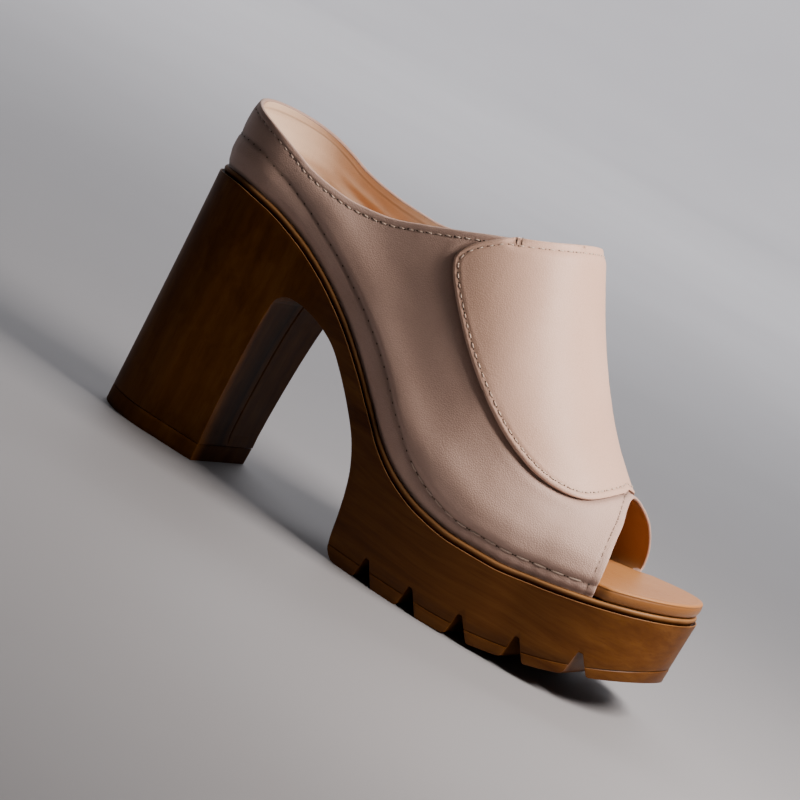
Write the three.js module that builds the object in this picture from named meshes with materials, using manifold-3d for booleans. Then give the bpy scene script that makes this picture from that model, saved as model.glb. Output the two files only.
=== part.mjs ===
// Peep-toe platform mule, right foot: one moulded platform, arch and block heel with its
// own top lift, a wrapped insole, a hollow leather upper and the overlay on its instep.
// Millimetres, +X to the toe, +Y to the inner (big toe) side, +Z up, floor at z = 0.
import * as THREE from 'three';
import { mergeVertices } from 'three/addons/utils/BufferGeometryUtils.js';
import Module from 'manifold-3d';

const wasm = await Module();
wasm.setup();
const { Manifold, Mesh, CrossSection } = wasm;

// ---- driving sizes -------------------------------------------------------------------
const GAP = 0.3;              // air between neighbouring pieces
const HEEL_BACK = -3.4;       // back of the rim, from the back of the heel's foot at x = 0
const TOE_TIP = 228.8;        // front of the rim
const HEEL_CAP = 27;          // length of the round back of the rim
const TOE_CAP = 48;           // length of the round toe
const TOE_POWER = 2.2;        // how square the toe is
const TREAD_ANGLE = 5.5;      // degrees that the heel breast and the lugs are turned, outer side back
const WALL_DRAFT = 1.5;       // the platform's wall leans in this much at the floor
const HEEL_DRAFT = 7.6;       // the heel narrows this much on each side down to the floor
const HEEL_LEAN = 1.2;        // the heel's back edge comes forward this much at the floor
const LIFT = 6.5;             // thickness of the heel's top lift
const BEAD_IN = 1.3;          // step in from the rim to the bead
const BEAD = 2.5;             // height of the bead above the rim
const INSOLE = 5.1;           // wrapped insole, thickness
const INSOLE_EDGE = 1.3;      // from the rim to the insole's edge in the toe opening
const UPPER_IN = 2.0;         // from the rim to the upper's foot
const WALL = 1.8;             // leather and lining together
const MOUTH_EDGE = 1.1;       // thinned for the turned edge of the toe opening
const OVERLAY = 1.5;          // overlay leather with its folded edge
const SECTION_POWER = 1.9;    // 2 is an ellipse, less is more pointed over the instep

// ---- the last ------------------------------------------------------------------------
// Plan and height of the rim along the shoe. outer and inner are half widths from the line
// that joins the middle of the heel to the tip of the toe, before the round ends.
const RIM = [
  // x,   outer, inner, height
  { x: -5,  outer: 28.4, inner: 28.4, height: 94.2 },
  { x: 10,  outer: 28.4, inner: 28.4, height: 95.4 },
  { x: 27,  outer: 28.5, inner: 28.4, height: 93.2 },
  { x: 43,  outer: 28.7, inner: 27.8, height: 88.4 },
  { x: 57,  outer: 29.3, inner: 26.9, height: 82.0 },
  { x: 72,  outer: 30.6, inner: 26.3, height: 72.8 },
  { x: 86,  outer: 33.0, inner: 27.2, height: 62.2 },
  { x: 100, outer: 36.2, inner: 29.9, height: 50.2 },
  { x: 110, outer: 38.7, inner: 32.6, height: 41.8 },
  { x: 121, outer: 41.0, inner: 35.4, height: 35.4 },
  { x: 135, outer: 43.2, inner: 38.6, height: 30.9 },
  { x: 150, outer: 44.0, inner: 40.8, height: 29.0 },
  { x: 165, outer: 43.0, inner: 41.2, height: 29.1 },
  { x: 181, outer: 40.4, inner: 39.2, height: 31.0 },
  { x: 195, outer: 39.6, inner: 37.6, height: 33.4 },
  { x: 210, outer: 39.4, inner: 37.2, height: 36.4 },
  { x: 229, outer: 39.4, inner: 37.2, height: 40.6 },
];

// The last's ridge, back to front. Behind the throat it runs on above the collar, where it
// only sets how much the walls close in. mid is its y: it lies a little to the inner side.
const RIDGE = [
  // x,  height, mid
  { x: -3,    height: 150.0, mid: 0 },
  { x: 20,    height: 168.0, mid: 0 },
  { x: 40,    height: 186.0, mid: 0 },
  { x: 62,    height: 196.0, mid: 0.3 },
  { x: 84,    height: 193.0, mid: 0.9 },
  { x: 100,   height: 183.0, mid: 1.3 },
  { x: 112,   height: 170.0, mid: 1.7 },
  { x: 124,   height: 152.5, mid: 2.0 },
  { x: 133.2, height: 137.2, mid: 2.3 },
  { x: 138.8, height: 126.6, mid: 2.4 },
  { x: 145.0, height: 115.4, mid: 2.5 },
  { x: 152.0, height: 104.0, mid: 2.6 },
  { x: 159.2, height: 93.6,  mid: 2.7 },
  { x: 166.8, height: 84.0,  mid: 2.8 },
  { x: 175.0, height: 75.6,  mid: 2.8 },
  { x: 183.4, height: 69.6,  mid: 2.8 },
  { x: 190.6, height: 66.2,  mid: 2.8 },
];
// Edge of the collar seen from the side, on the middle line.
const COLLAR = [
  // x,  z
  { x: -30, z: 124.2 }, { x: -8, z: 124.4 },  { x: 2, z: 123.6 },   { x: 12, z: 122.2 },
  { x: 20, z: 120.4 },  { x: 28, z: 117.9 },  { x: 36, z: 115.2 },  { x: 46, z: 113.4 },
  { x: 56, z: 112.6 },  { x: 68, z: 113.0 },  { x: 82, z: 116.0 },  { x: 94, z: 119.9 },
  { x: 106, z: 124.6 }, { x: 117, z: 128.8 }, { x: 126, z: 132.9 }, { x: 134.0, z: 137.4 },
];
const COLLAR_TILT = 0.07;     // at the heel the collar stands this much higher per mm to the inner side
const COLLAR_DIP = -0.035;    // and at the throat this much lower
const MOUTH_OUTER = 199.8;    // toe opening: its foot on the outer side
const MOUTH_INNER = 196.0;    // and on the inner side
const MOUTH_TOP = 190.6;      // and its top on the ridge
const FULL = 2.2;             // the leather swells this far over its foot
const FULL_AT = 13;           // height of the swell
// The padded heel cup: how far it stands out over its foot, with a sewn groove round it.
const CUP = [
  // rise, out
  { rise: 0, out: 0.6 },    { rise: 3, out: 1.3 },  { rise: 7, out: 2.0 },  { rise: 10.4, out: 2.1 },
  { rise: 12.4, out: 1.1 }, { rise: 14.4, out: 2.0 }, { rise: 18, out: 2.2 }, { rise: 22, out: 1.9 },
  { rise: 26, out: 1.0 },   { rise: 60, out: 0.2 },
];

// The under side, seen from the side: heel breast, arch, then the back of the platform.
const ARCH = [
  // x, z
  { x: 46.8, z: 0 },    { x: 46.5, z: 22 },   { x: 46.8, z: 44 },  { x: 47.8, z: 60 },
  { x: 49.0, z: 66.6 }, { x: 52.2, z: 69.4 }, { x: 58, z: 69.9 },  { x: 66, z: 68.4 },
  { x: 73, z: 65.8 },   { x: 78, z: 63.0 },   { x: 83, z: 59.0 },  { x: 89, z: 53.6 },
  { x: 95.5, z: 47.2 }, { x: 100.6, z: 41.6 }, { x: 104.2, z: 36.4 }, { x: 107.4, z: 30.2 },
  { x: 109.6, z: 23.4 }, { x: 111.4, z: 15.4 }, { x: 112.8, z: 7.2 }, { x: 114.2, z: 3.0 },
  { x: 117.2, z: 0.4 }, { x: 119.2, z: 0 },
];
// The lugs: back and front of each on the floor line. The last one is the toe.
const LUGS = [
  // back, front
  { back: 119.2, front: 127.8 },
  { back: 136.2, front: 147.0 },
  { back: 155.3, front: 166.6 },
  { back: 174.8, front: 186.8 },
  { back: 194.3, front: 206.9 },
  { back: 213.8, front: 250 },
];
const NOTCH = 8.3;            // depth of the gap between two lugs
const NOTCH_BACK = 1.3;       // its back wall leans this far forward at the top
const NOTCH_TOP = 1.6;        // its width at the top
const SPRING_FROM = 152;      // the toe spring starts here
const SPRING = 17.6;          // and lifts the tip this much

// Outline of the overlay from the side: from the collar's edge round to the toe opening.
const OVERLAY_EDGE = [
  // x, z
  { x: 114.0, z: 129.2 }, { x: 107.9, z: 124.5 }, { x: 102.4, z: 119.8 }, { x: 99.7, z: 116.4 },
  { x: 98.6, z: 112.5 }, { x: 100.5, z: 108.3 }, { x: 105.2, z: 102.5 }, { x: 112.2, z: 95.3 },
  { x: 118.9, z: 89.0 }, { x: 126.6, z: 82.7 }, { x: 135.5, z: 76.1 }, { x: 144.8, z: 70.2 },
  { x: 153.0, z: 66.2 }, { x: 161.2, z: 63.2 }, { x: 168.8, z: 61.9 }, { x: 175.4, z: 61.9 },
  { x: 179.8, z: 63.0 }, { x: 182.6, z: 64.9 }, { x: 185.4, z: 68.2 },
];

// ---- curves --------------------------------------------------------------------------
const clamp = (v, a, b) => Math.min(b, Math.max(a, v));
const lerp = (a, b, t) => a + (b - a) * t;
const smooth = (a, b, v) => { const t = clamp((v - a) / (b - a), 0, 1); return t * t * (3 - 2 * t); };

// Smooth curve through a table's rows, without overshoot (monotone cubic).
function curve(rows, key, from = 'x') {
  const xs = rows.map((r) => r[from]), ys = rows.map((r) => r[key]), n = xs.length;
  const d = xs.slice(1).map((x, i) => (ys[i + 1] - ys[i]) / (x - xs[i]));
  const m = ys.map((_, i) => {
    if (i === 0) return d[0];
    if (i === n - 1) return d[n - 2];
    if (d[i - 1] * d[i] <= 0) return 0;
    const a = xs[i] - xs[i - 1], b = xs[i + 1] - xs[i];
    return (3 * (a + b)) / ((2 * b + a) / d[i - 1] + (b + 2 * a) / d[i]);
  });
  return (x) => {
    let i = 0;
    while (i < n - 2 && x > xs[i + 1]) i++;
    const h = xs[i + 1] - xs[i];
    if (x < xs[0]) return ys[0] + m[0] * (x - xs[0]);
    if (x > xs[n - 1]) return ys[n - 1] + m[n - 1] * (x - xs[n - 1]);
    const t = (x - xs[i]) / h, t2 = t * t, t3 = t2 * t;
    return (2 * t3 - 3 * t2 + 1) * ys[i] + (t3 - 2 * t2 + t) * h * m[i]
      + (-2 * t3 + 3 * t2) * ys[i + 1] + (t3 - t2) * h * m[i + 1];
  };
}
const rimOuter = curve(RIM, 'outer'), rimInner = curve(RIM, 'inner'), rimHeight = curve(RIM, 'height');
const ridgeHeight = curve(RIDGE, 'height'), ridgeMid = curve(RIDGE, 'mid');
const collarHeight = curve(COLLAR, 'z'), cupOut = curve(CUP, 'out', 'rise');

// Half width of the rim at x on one side (-1 outer, +1 inner), stepped in by inset.
function rimHalf(x, side, inset = 0) {
  const back = HEEL_BACK + inset, tip = TOE_TIP - inset;
  let cap = 1;
  if (x < back + HEEL_CAP) cap = Math.sqrt(clamp(1 - ((back + HEEL_CAP - x) / HEEL_CAP) ** 2, 0, 1));
  const toe = TOE_CAP - inset * 0.5;
  if (x > tip - toe) cap = Math.sqrt(clamp(1 - ((x - tip + toe) / toe) ** TOE_POWER, 0, 1));
  return ((side < 0 ? rimOuter(x) : rimInner(x)) - inset) * cap;
}
// Stations from back to tip, closer at the round ends.
const stations = (from, to, n) => Array.from({ length: n + 1 }, (_, i) => {
  const t = i / n, c = (1 - Math.cos(Math.PI * t)) / 2;
  return lerp(from, to, lerp(t, c, 0.82));
});
// Closed plan outline, inset from the rim: outer side back to front, then inner front to back.
function outline(inset, n) {
  const xs = stations(HEEL_BACK + inset, TOE_TIP - inset, n);
  const outer = xs.map((x) => [x, -rimHalf(x, -1, inset)]);
  const inner = xs.slice(1, -1).reverse().map((x) => [x, rimHalf(x, 1, inset)]);
  outer[0][1] = 0; outer[n][1] = 0;
  return outer.concat(inner);
}

// ---- meshes --------------------------------------------------------------------------
class Faces {
  constructor() { this.p = []; this.f = []; }
  point(x, y, z) { this.p.push(x, y, z); return this.p.length / 3 - 1; }
  tri(a, b, c) { this.f.push(a, b, c); }
  // split along the shorter diagonal
  quad(a, b, c, d) {
    const p = this.p, far = (i, j) => Math.hypot(p[3 * i] - p[3 * j], p[3 * i + 1] - p[3 * j + 1], p[3 * i + 2] - p[3 * j + 2]);
    if (far(a, c) <= far(b, d)) { this.tri(a, b, c); this.tri(a, c, d); } else { this.tri(b, c, d); this.tri(b, d, a); }
  }
  geometry() {
    let g = new THREE.BufferGeometry();
    g.setAttribute('position', new THREE.Float32BufferAttribute(this.p, 3));
    g.setIndex(this.f);
    return mergeVertices(g, 1e-4);
  }
  solid() { return toSolid(this.geometry()); }
}
function toSolid(geometry) {
  const index = [], src = geometry.index.array;
  for (let i = 0; i < src.length; i += 3) {
    const [a, b, c] = [src[i], src[i + 1], src[i + 2]];
    if (a !== b && b !== c && c !== a) index.push(a, b, c);
  }
  const mesh = new Mesh({ numProp: 3, vertProperties: new Float32Array(geometry.attributes.position.array), triVerts: new Uint32Array(index) });
  mesh.merge();
  return new Manifold(mesh);
}
function fromSolid(solid) {
  const m = solid.getMesh(), g = new THREE.BufferGeometry();
  g.setAttribute('position', new THREE.Float32BufferAttribute(m.vertProperties, 3));
  g.setIndex(Array.from(m.triVerts));
  return mergeVertices(g, 1e-4);
}
// Solid from rings that share one closed plan, capped by strips across the shoe.
function ringSolid(rings) {
  const F = new Faces(), n = rings[0].length;
  const id = rings.map((r) => r.map(([x, y, z]) => F.point(x, y, z)));
  for (let k = 0; k + 1 < rings.length; k++)
    for (let i = 0; i < n; i++) {
      const j = (i + 1) % n;
      F.quad(id[k][i], id[k][j], id[k + 1][j], id[k + 1][i]);
    }
  const half = n / 2, cap = (r, up) => {
    for (let i = 0; i < half; i++) {
      const a = r[i], b = r[i + 1], c = r[(n - i - 1) % n], d = r[(n - i) % n];
      if (up) { F.tri(a, b, c); if (i > 0) F.tri(a, c, d); } else { F.tri(a, c, b); if (i > 0) F.tri(a, d, c); }
    }
  };
  cap(id[0], false);
  cap(id[rings.length - 1], true);
  return F.solid();
}
// Prism across the shoe from an outline seen from the side.
function across(points, turned, reach = 90) {
  const area = points.reduce((s, p, i) => { const q = points[(i + 1) % points.length]; return s + p[0] * q[1] - q[0] * p[1]; }, 0);
  const ring = area > 0 ? points : points.slice().reverse();
  const shift = turned ? Math.tan(THREE.MathUtils.degToRad(TREAD_ANGLE)) : 0;
  // the extrusion's own z becomes -y, so that the outline keeps its sense
  const prism = new CrossSection([ring]).extrude(2 * reach);
  return prism.warp((v) => { const y = reach - v[2]; const [x, z] = [v[0], v[1]]; v[0] = x + shift * y; v[1] = y; v[2] = z; });
}

// ---- sole ----------------------------------------------------------------------------
const spring = (x) => SPRING * clamp((x - SPRING_FROM) / (TOE_TIP - SPRING_FROM), 0, 1.3) ** 2;
const seat = (x) => rimHeight(x) + BEAD;

const N = 40;
const layers = [0, 0.28, 0.55, 0.8, 0.93, 1];
function soleRing(v) {
  return outline(0, N).map(([x, y]) => {
    const heel = 1 - smooth(60, 112, x);
    const down = 1 - (0.78 * v + 0.22 * v ** 4);
    const width = (side) => (side < 0 ? rimOuter(x) : rimInner(x));
    const w = width(y < 0 ? -1 : 1), k = (w - lerp(WALL_DRAFT, HEEL_DRAFT, heel) * down) / w;
    const back = smooth(24, HEEL_BACK, x) * HEEL_LEAN * down;
    const tip = smooth(190, TOE_TIP, x) * WALL_DRAFT * down;
    return [x + back - tip, y * k, rimHeight(x) * v - 6 * (1 - v)];
  });
}
const rimRing = (inset, rise) => outline(inset, N).map(([x, y]) => [x, y, rimHeight(x) + rise]);
const body = ringSolid([...layers.map(soleRing), rimRing(BEAD_IN, -0.3), rimRing(BEAD_IN, BEAD - 0.9), rimRing(BEAD_IN + 0.9, BEAD)]);

function underside() {
  const line = [[-40, LIFT + GAP], [ARCH[0].x, LIFT + GAP]];
  for (const r of ARCH) if (r.z > LIFT + GAP || r.x > 100) line.push([r.x, r.z]);
  LUGS.forEach((lug, i) => {
    if (i > 0) line.push([lug.back, spring(lug.back)]);
    const steps = Math.max(1, Math.round((Math.min(lug.front, 236) - lug.back) / 6));
    for (let k = 1; k <= steps; k++) {
      const x = lerp(lug.back, Math.min(lug.front, 236), k / steps);
      line.push([x, spring(x)]);
    }
    if (i + 1 < LUGS.length) {
      const top = spring((lug.front + LUGS[i + 1].back) / 2) + NOTCH;
      line.push([lug.front + NOTCH_BACK, top], [lug.front + NOTCH_BACK + NOTCH_TOP, top]);
    }
  });
  line.push([260, spring(236)], [260, -40], [-40, -40]);
  return across(line, true);
}
const soleSolid = body.subtract(underside());

const breastX = ARCH[0].x;
const liftBox = across([[-40, 0], [breastX, 0], [breastX - 0.2, LIFT], [-40, LIFT]], true);
const liftSolid = body.intersect(liftBox);

// ---- insole --------------------------------------------------------------------------
const mouthX = (y) => lerp(MOUTH_OUTER, MOUTH_INNER, clamp((y + 38) / 74, 0, 1));
function insoleRing(inset, height) {
  const wide = outline(INSOLE_EDGE + inset, N), slim = outline(UPPER_IN + WALL + GAP + 0.6 + inset, N);
  return wide.map(([x, y], i) => {
    const t = smooth(0.6, 4.5, x - mouthX(y));
    return [lerp(slim[i][0], x, t), lerp(slim[i][1], y, t)];
  }).map(([x, y]) => [x, y, seat(x) + GAP + height]);
}
const insoleSolid = ringSolid([insoleRing(0.5, 0), insoleRing(0, 0.8), insoleRing(0, INSOLE - 1.1), insoleRing(0.9, INSOLE)]);

// ---- upper ---------------------------------------------------------------------------
// One strip runs from the upper's foot up to the ridge. p is 0 at the back of the heel and 1
// at the toe opening, q is 0 at the foot and 1 on the ridge. The collar is cut out after.
const UP_BACK = HEEL_BACK + UPPER_IN;
function strip(p, side) {
  const round = 0.14, g = p < round ? p * p / (2 * round) : p - round / 2, t = g / (1 - round / 2);
  const x = lerp(UP_BACK, side < 0 ? MOUTH_OUTER : MOUTH_INNER, t);
  const half = rimHalf(x, side, UPPER_IN);
  const top = lerp(UP_BACK, MOUTH_TOP, t) * smooth(0.6, 1, t) + x * (1 - smooth(0.6, 1, t));
  const foot = seat(x) + GAP, height = ridgeHeight(top) - foot;
  const edge = (collarHeight(top) - foot) / height;
  return { x, half, top, foot, height, edge: top < COLLAR[COLLAR.length - 1].x ? clamp(edge, 0.02, 1) : 1 };
}
function surface(pStrip, q, side) {
  // the edge of the toe opening is drawn back over the toes
  const p = pStrip + (0.003 * smooth(0.05, 0.35, q) - 0.0186 * smooth(0.58, 1, q)) * smooth(0.9, 1, pStrip);
  const { x, half, top, foot, height, edge } = strip(p, side), n = SECTION_POWER;
  const real = Math.min(Math.asin(edge ** (n / 2)) * 1.06, 0.86 * Math.PI / 2);
  const a = q < 0.86 ? (q / 0.86) * real : lerp(real, Math.PI / 2, (q - 0.86) / 0.14);
  const k = clamp(Math.cos(a), 0, 1) ** (2 / n), rise = height * Math.sin(a) ** (2 / n);
  const mid = ridgeMid(top) * (1 - k);
  const P = [lerp(top, x, k ** 2.3), mid + side * half * k, foot + rise];
  // the swell over the foot and the padded heel cup, both outward in plan
  const heel = 1 - smooth(12, 44, x);
  const swell = FULL * Math.exp(-(((rise - FULL_AT) / 10) ** 2)) * smooth(0, 4, rise);
  const out = lerp(swell, cupOut(rise), heel) * smooth(0, 0.35, k);
  const dir = x < 20 ? [x - 20, side * half] : [0, side], len = Math.hypot(dir[0], dir[1]);
  P[0] += (dir[0] / len) * out; P[1] += (dir[1] / len) * out;
  return P;
}
// The same surface moved out by off along its own normal.
function skin(p, q, side, off) {
  const P = surface(p, q, side), e = 0.004;
  if (!off) return P;
  const pp = clamp(p, 0.004, 1), qq = clamp(q, 0.004, 0.99);
  const [A, B] = [surface(Math.max(pp - e, 0.0005), qq, side), surface(Math.min(pp + e, 1), qq, side)];
  const [C, D] = [surface(pp, qq - e / 2, side), surface(pp, qq + e / 2, side)];
  const u = new THREE.Vector3(B[0] - A[0], B[1] - A[1], B[2] - A[2]), v = new THREE.Vector3(D[0] - C[0], D[1] - C[1], D[2] - C[2]);
  const normal = new THREE.Vector3().crossVectors(u, v).multiplyScalar(side < 0 ? 1 : -1);
  if (p <= 0 || q >= 1) normal.y = 0;
  normal.normalize();
  return [P[0] + normal.x * off, P[1] + normal.y * off, P[2] + normal.z * off];
}
// Hollow shell between two offsets of the surface, open at the foot and at the toe.
function shell(off0, off1, along, up, low = 0) {
  const F = new Faces(), ids = {};
  for (const side of [-1, 1])
    ids[side] = [off0, off1].map((off) => Array.from({ length: along + 1 }, (_, i) => Array.from({ length: up + 1 }, (__, j) => {
      const p = i / along, q = lerp(low, 1, j / up);
      const thin = off < 0 ? lerp(off, -MOUTH_EDGE, smooth(0.94, 1, p)) : off, P = skin(p, q, side, thin);
      if (j === 0 && low === 0) P[2] = strip(p, side).foot;
      if (i === 0) P[1] = 0;
      return F.point(...P);
    })));
  // both sides share the ridge and the back of the heel
  const weld = (a, b) => { for (let c = 0; c < 3; c++) { const m = (F.p[3 * a + c] + F.p[3 * b + c]) / 2; F.p[3 * a + c] = m; F.p[3 * b + c] = m; } };
  for (let k = 0; k < 2; k++) {
    for (let i = 0; i <= along; i++) weld(ids[-1][k][i][up], ids[1][k][i][up]);
    for (let j = 0; j <= up; j++) weld(ids[-1][k][0][j], ids[1][k][0][j]);
  }
  for (const side of [-1, 1]) {
    const quad = (a, b, c, d) => (side < 0 ? F.quad(a, b, c, d) : F.quad(a, d, c, b));
    const [inn, out] = ids[side];
    for (let i = 0; i < along; i++) {
      for (let j = 0; j < up; j++) {
        quad(out[i][j], out[i + 1][j], out[i + 1][j + 1], out[i][j + 1]);
        quad(inn[i][j], inn[i][j + 1], inn[i + 1][j + 1], inn[i + 1][j]);
      }
      quad(inn[i][0], inn[i + 1][0], out[i + 1][0], out[i][0]);
    }
    for (let j = 0; j < up; j++) quad(out[along][j], inn[along][j], inn[along][j + 1], out[along][j + 1]);
  }
  return F.solid();
}
// Everything above the collar's edge, drop lower.
function aboveCollar(drop = 0) {
  const last = COLLAR[COLLAR.length - 1], steps = 42, line = [[-30, collarHeight(-30) - drop]];
  for (let i = 0; i <= steps; i++) {
    const x = lerp(-8, last.x, i / steps);
    line.push([x, collarHeight(x) - drop]);
  }
  line.push([last.x + 14, last.z + 4.5 - drop], [170, 300], [-30, 300]);
  return across(line, false, 44).warp((v) => { v[2] += lerp(COLLAR_TILT, COLLAR_DIP, smooth(50, 95, v[0])) * v[1]; });
}
const upperSolid = shell(-WALL, 0, 42, 14).subtract(aboveCollar());

// ---- overlay -------------------------------------------------------------------------
const overlayOutline = OVERLAY_EDGE.map((r) => [r.x, r.z]).concat([[240, 132], [240, 190], [113.6, 190]]);
const overlaySolid = shell(GAP, GAP + OVERLAY, 42, 11, 0.1).intersect(across(overlayOutline, false)).subtract(aboveCollar(0.4));

// ---- assembly ------------------------------------------------------------------------
const boxes = [soleSolid, liftSolid, insoleSolid, upperSolid, overlaySolid].map((s) => s.boundingBox());
const low = [0, 1].map((k) => Math.min(...boxes.map((b) => b.min[k])));
const high = [0, 1].map((k) => Math.max(...boxes.map((b) => b.max[k])));
const ORIGIN = [(low[0] + high[0]) / 2, (low[1] + high[1]) / 2, 0];

const group = new THREE.Group();
group.name = 'platform_mule';
function add(name, solid, color, roughness) {
  const mesh = new THREE.Mesh(fromSolid(solid.translate([-ORIGIN[0], -ORIGIN[1], 0])), new THREE.MeshStandardMaterial({ color, roughness, metalness: 0 }));
  mesh.name = name;
  group.add(mesh);
}
add('sole_unit', soleSolid, 0x7a4a22, 0.38);
add('heel_top_piece', liftSolid, 0x6a3f1d, 0.5);
add('insole', insoleSolid, 0xb98655, 0.55);
add('upper', upperSolid, 0xcbb0a2, 0.5);
add('vamp_overlay', overlaySolid, 0xd2b8aa, 0.48);

export default group;
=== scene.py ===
"""Peep-toe platform mule, right foot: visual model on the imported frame.

Sizes are in millimetres in the last's own frame (x from the back of the heel's foot to the toe,
y to the inner side, z up from the floor) and are moved into the row frame, in metres, at the end.
"""
import bpy
import bmesh
import math
import numpy as np
from mathutils import Vector, Matrix, noise


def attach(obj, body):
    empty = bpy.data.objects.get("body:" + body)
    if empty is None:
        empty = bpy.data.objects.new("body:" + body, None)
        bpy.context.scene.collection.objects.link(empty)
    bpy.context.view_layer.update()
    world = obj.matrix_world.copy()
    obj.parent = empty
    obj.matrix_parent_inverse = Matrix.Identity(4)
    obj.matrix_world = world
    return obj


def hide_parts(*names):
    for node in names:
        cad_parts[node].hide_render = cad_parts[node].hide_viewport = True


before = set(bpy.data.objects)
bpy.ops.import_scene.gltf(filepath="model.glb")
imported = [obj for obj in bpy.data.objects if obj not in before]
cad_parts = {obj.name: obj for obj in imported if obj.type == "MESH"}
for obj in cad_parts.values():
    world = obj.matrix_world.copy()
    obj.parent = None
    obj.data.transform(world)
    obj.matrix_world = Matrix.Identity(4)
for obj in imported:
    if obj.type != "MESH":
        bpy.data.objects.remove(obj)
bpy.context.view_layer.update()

ORIGIN = np.array([112.60254, -1.37528, 0.0])

# ------------------------------------------------------------------ sizes of the last and sole
HEEL_BACK, TOE_TIP = -3.4, 228.8
HEEL_CAP, TOE_CAP, TOE_POWER = 27.0, 48.0, 2.2
TREAD_TURN = math.tan(math.radians(5.5))
WALL_DRAFT, HEEL_DRAFT, HEEL_LEAN = 1.5, 7.6, 1.2
LIFT, GAP = 6.5, 0.3
BEAD_IN, BEAD = 1.3, 2.5
INSOLE, INSOLE_EDGE = 5.1, 1.3
UPPER_IN, WALL, MOUTH_EDGE, OVERLAY = 2.0, 1.8, 1.1, 1.5
SECTION_POWER = 1.9
COLLAR_TILT, COLLAR_DIP = 0.07, -0.035
MOUTH_OUTER, MOUTH_INNER, MOUTH_TOP = 199.8, 196.0, 190.6
FULL, FULL_AT = 2.2, 13.0
SPRING_FROM, SPRING = 152.0, 17.6
NOTCH, NOTCH_BACK, NOTCH_TOP = 8.3, 1.3, 1.6

RIM = [  # x, outer half width, inner half width, height
    (-5, 28.4, 28.4, 94.2), (10, 28.4, 28.4, 95.4), (27, 28.5, 28.4, 93.2), (43, 28.7, 27.8, 88.4),
    (57, 29.3, 26.9, 82.0), (72, 30.6, 26.3, 72.8), (86, 33.0, 27.2, 62.2), (100, 36.2, 29.9, 50.2),
    (110, 38.7, 32.6, 41.8), (121, 41.0, 35.4, 35.4), (135, 43.2, 38.6, 30.9), (150, 44.0, 40.8, 29.0),
    (165, 43.0, 41.2, 29.1), (181, 40.4, 39.2, 31.0), (195, 39.6, 37.6, 33.4), (210, 39.4, 37.2, 36.4),
    (229, 39.4, 37.2, 40.6),
]
RIDGE = [  # x, height, y of the ridge
    (-3, 150.0, 0), (20, 168.0, 0), (40, 186.0, 0), (62, 196.0, 0.3), (84, 193.0, 0.9), (100, 183.0, 1.3),
    (112, 170.0, 1.7), (124, 152.5, 2.0), (133.2, 137.2, 2.3), (138.8, 126.6, 2.4), (145.0, 115.4, 2.5),
    (152.0, 104.0, 2.6), (159.2, 93.6, 2.7), (166.8, 84.0, 2.8), (175.0, 75.6, 2.8), (183.4, 69.6, 2.8),
    (190.6, 66.2, 2.8),
]
COLLAR = [  # x, z of the collar's edge on the middle line
    (-30, 124.2), (-8, 124.4), (2, 123.6), (12, 122.2), (20, 120.4), (28, 117.9), (36, 115.2), (46, 113.4),
    (56, 112.6), (68, 113.0), (82, 116.0), (94, 119.9), (106, 124.6), (117, 128.8), (126, 132.9), (134.0, 137.4),
]
CUP = [  # rise over the foot, how far the heel cup stands out
    (0, 0.6), (3, 1.3), (7, 2.0), (10.4, 2.0), (12.6, 1.72), (14.8, 1.85), (18, 2.05), (22, 1.9), (26, 1.0), (60, 0.2),
]
ARCH = [  # x, z: breast, arch, back of the platform
    (46.8, 0), (46.5, 22), (46.8, 44), (47.8, 60), (49.0, 66.6), (52.2, 69.4), (58, 69.9), (66, 68.4),
    (73, 65.8), (78, 63.0), (83, 59.0), (89, 53.6), (95.5, 47.2), (100.6, 41.6), (104.2, 36.4), (107.4, 30.2),
    (109.6, 23.4), (111.4, 15.4), (112.8, 7.2), (114.2, 3.0), (117.2, 0.4), (119.2, 0),
]
LUGS = [  # back, front
    (119.2, 127.8), (136.2, 147.0), (155.3, 166.6), (174.8, 186.8), (194.3, 206.9), (213.8, 250.0),
]
OVERLAY_EDGE = [  # x, z
    (114.0, 129.2), (107.9, 124.5), (102.4, 119.8), (99.7, 116.4), (98.6, 112.5), (100.5, 108.3),
    (105.2, 102.5), (112.2, 95.3), (118.9, 89.0), (126.6, 82.7), (135.5, 76.1), (144.8, 70.2),
    (153.0, 66.2), (161.2, 63.2), (168.8, 61.9), (175.4, 61.9), (179.8, 63.0), (182.6, 64.9),
    (185.4, 68.2),
]
SEAM_RISE = [  # x, rise of the lower stitch line over the upper's foot
    (-5, 12.2), (9, 11.8), (16, 11.5), (31, 9.6), (41, 8.8), (52, 8.2), (66, 8.5), (75, 9.2), (83, 10.1), (91, 10.8),
    (99, 11.2), (106, 11.0), (112, 10.3), (118, 8.9), (124, 7.4), (131, 6.2), (140, 4.9), (148, 4.3), (167, 4.1),
    (190, 3.8), (201, 3.9),
]


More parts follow.
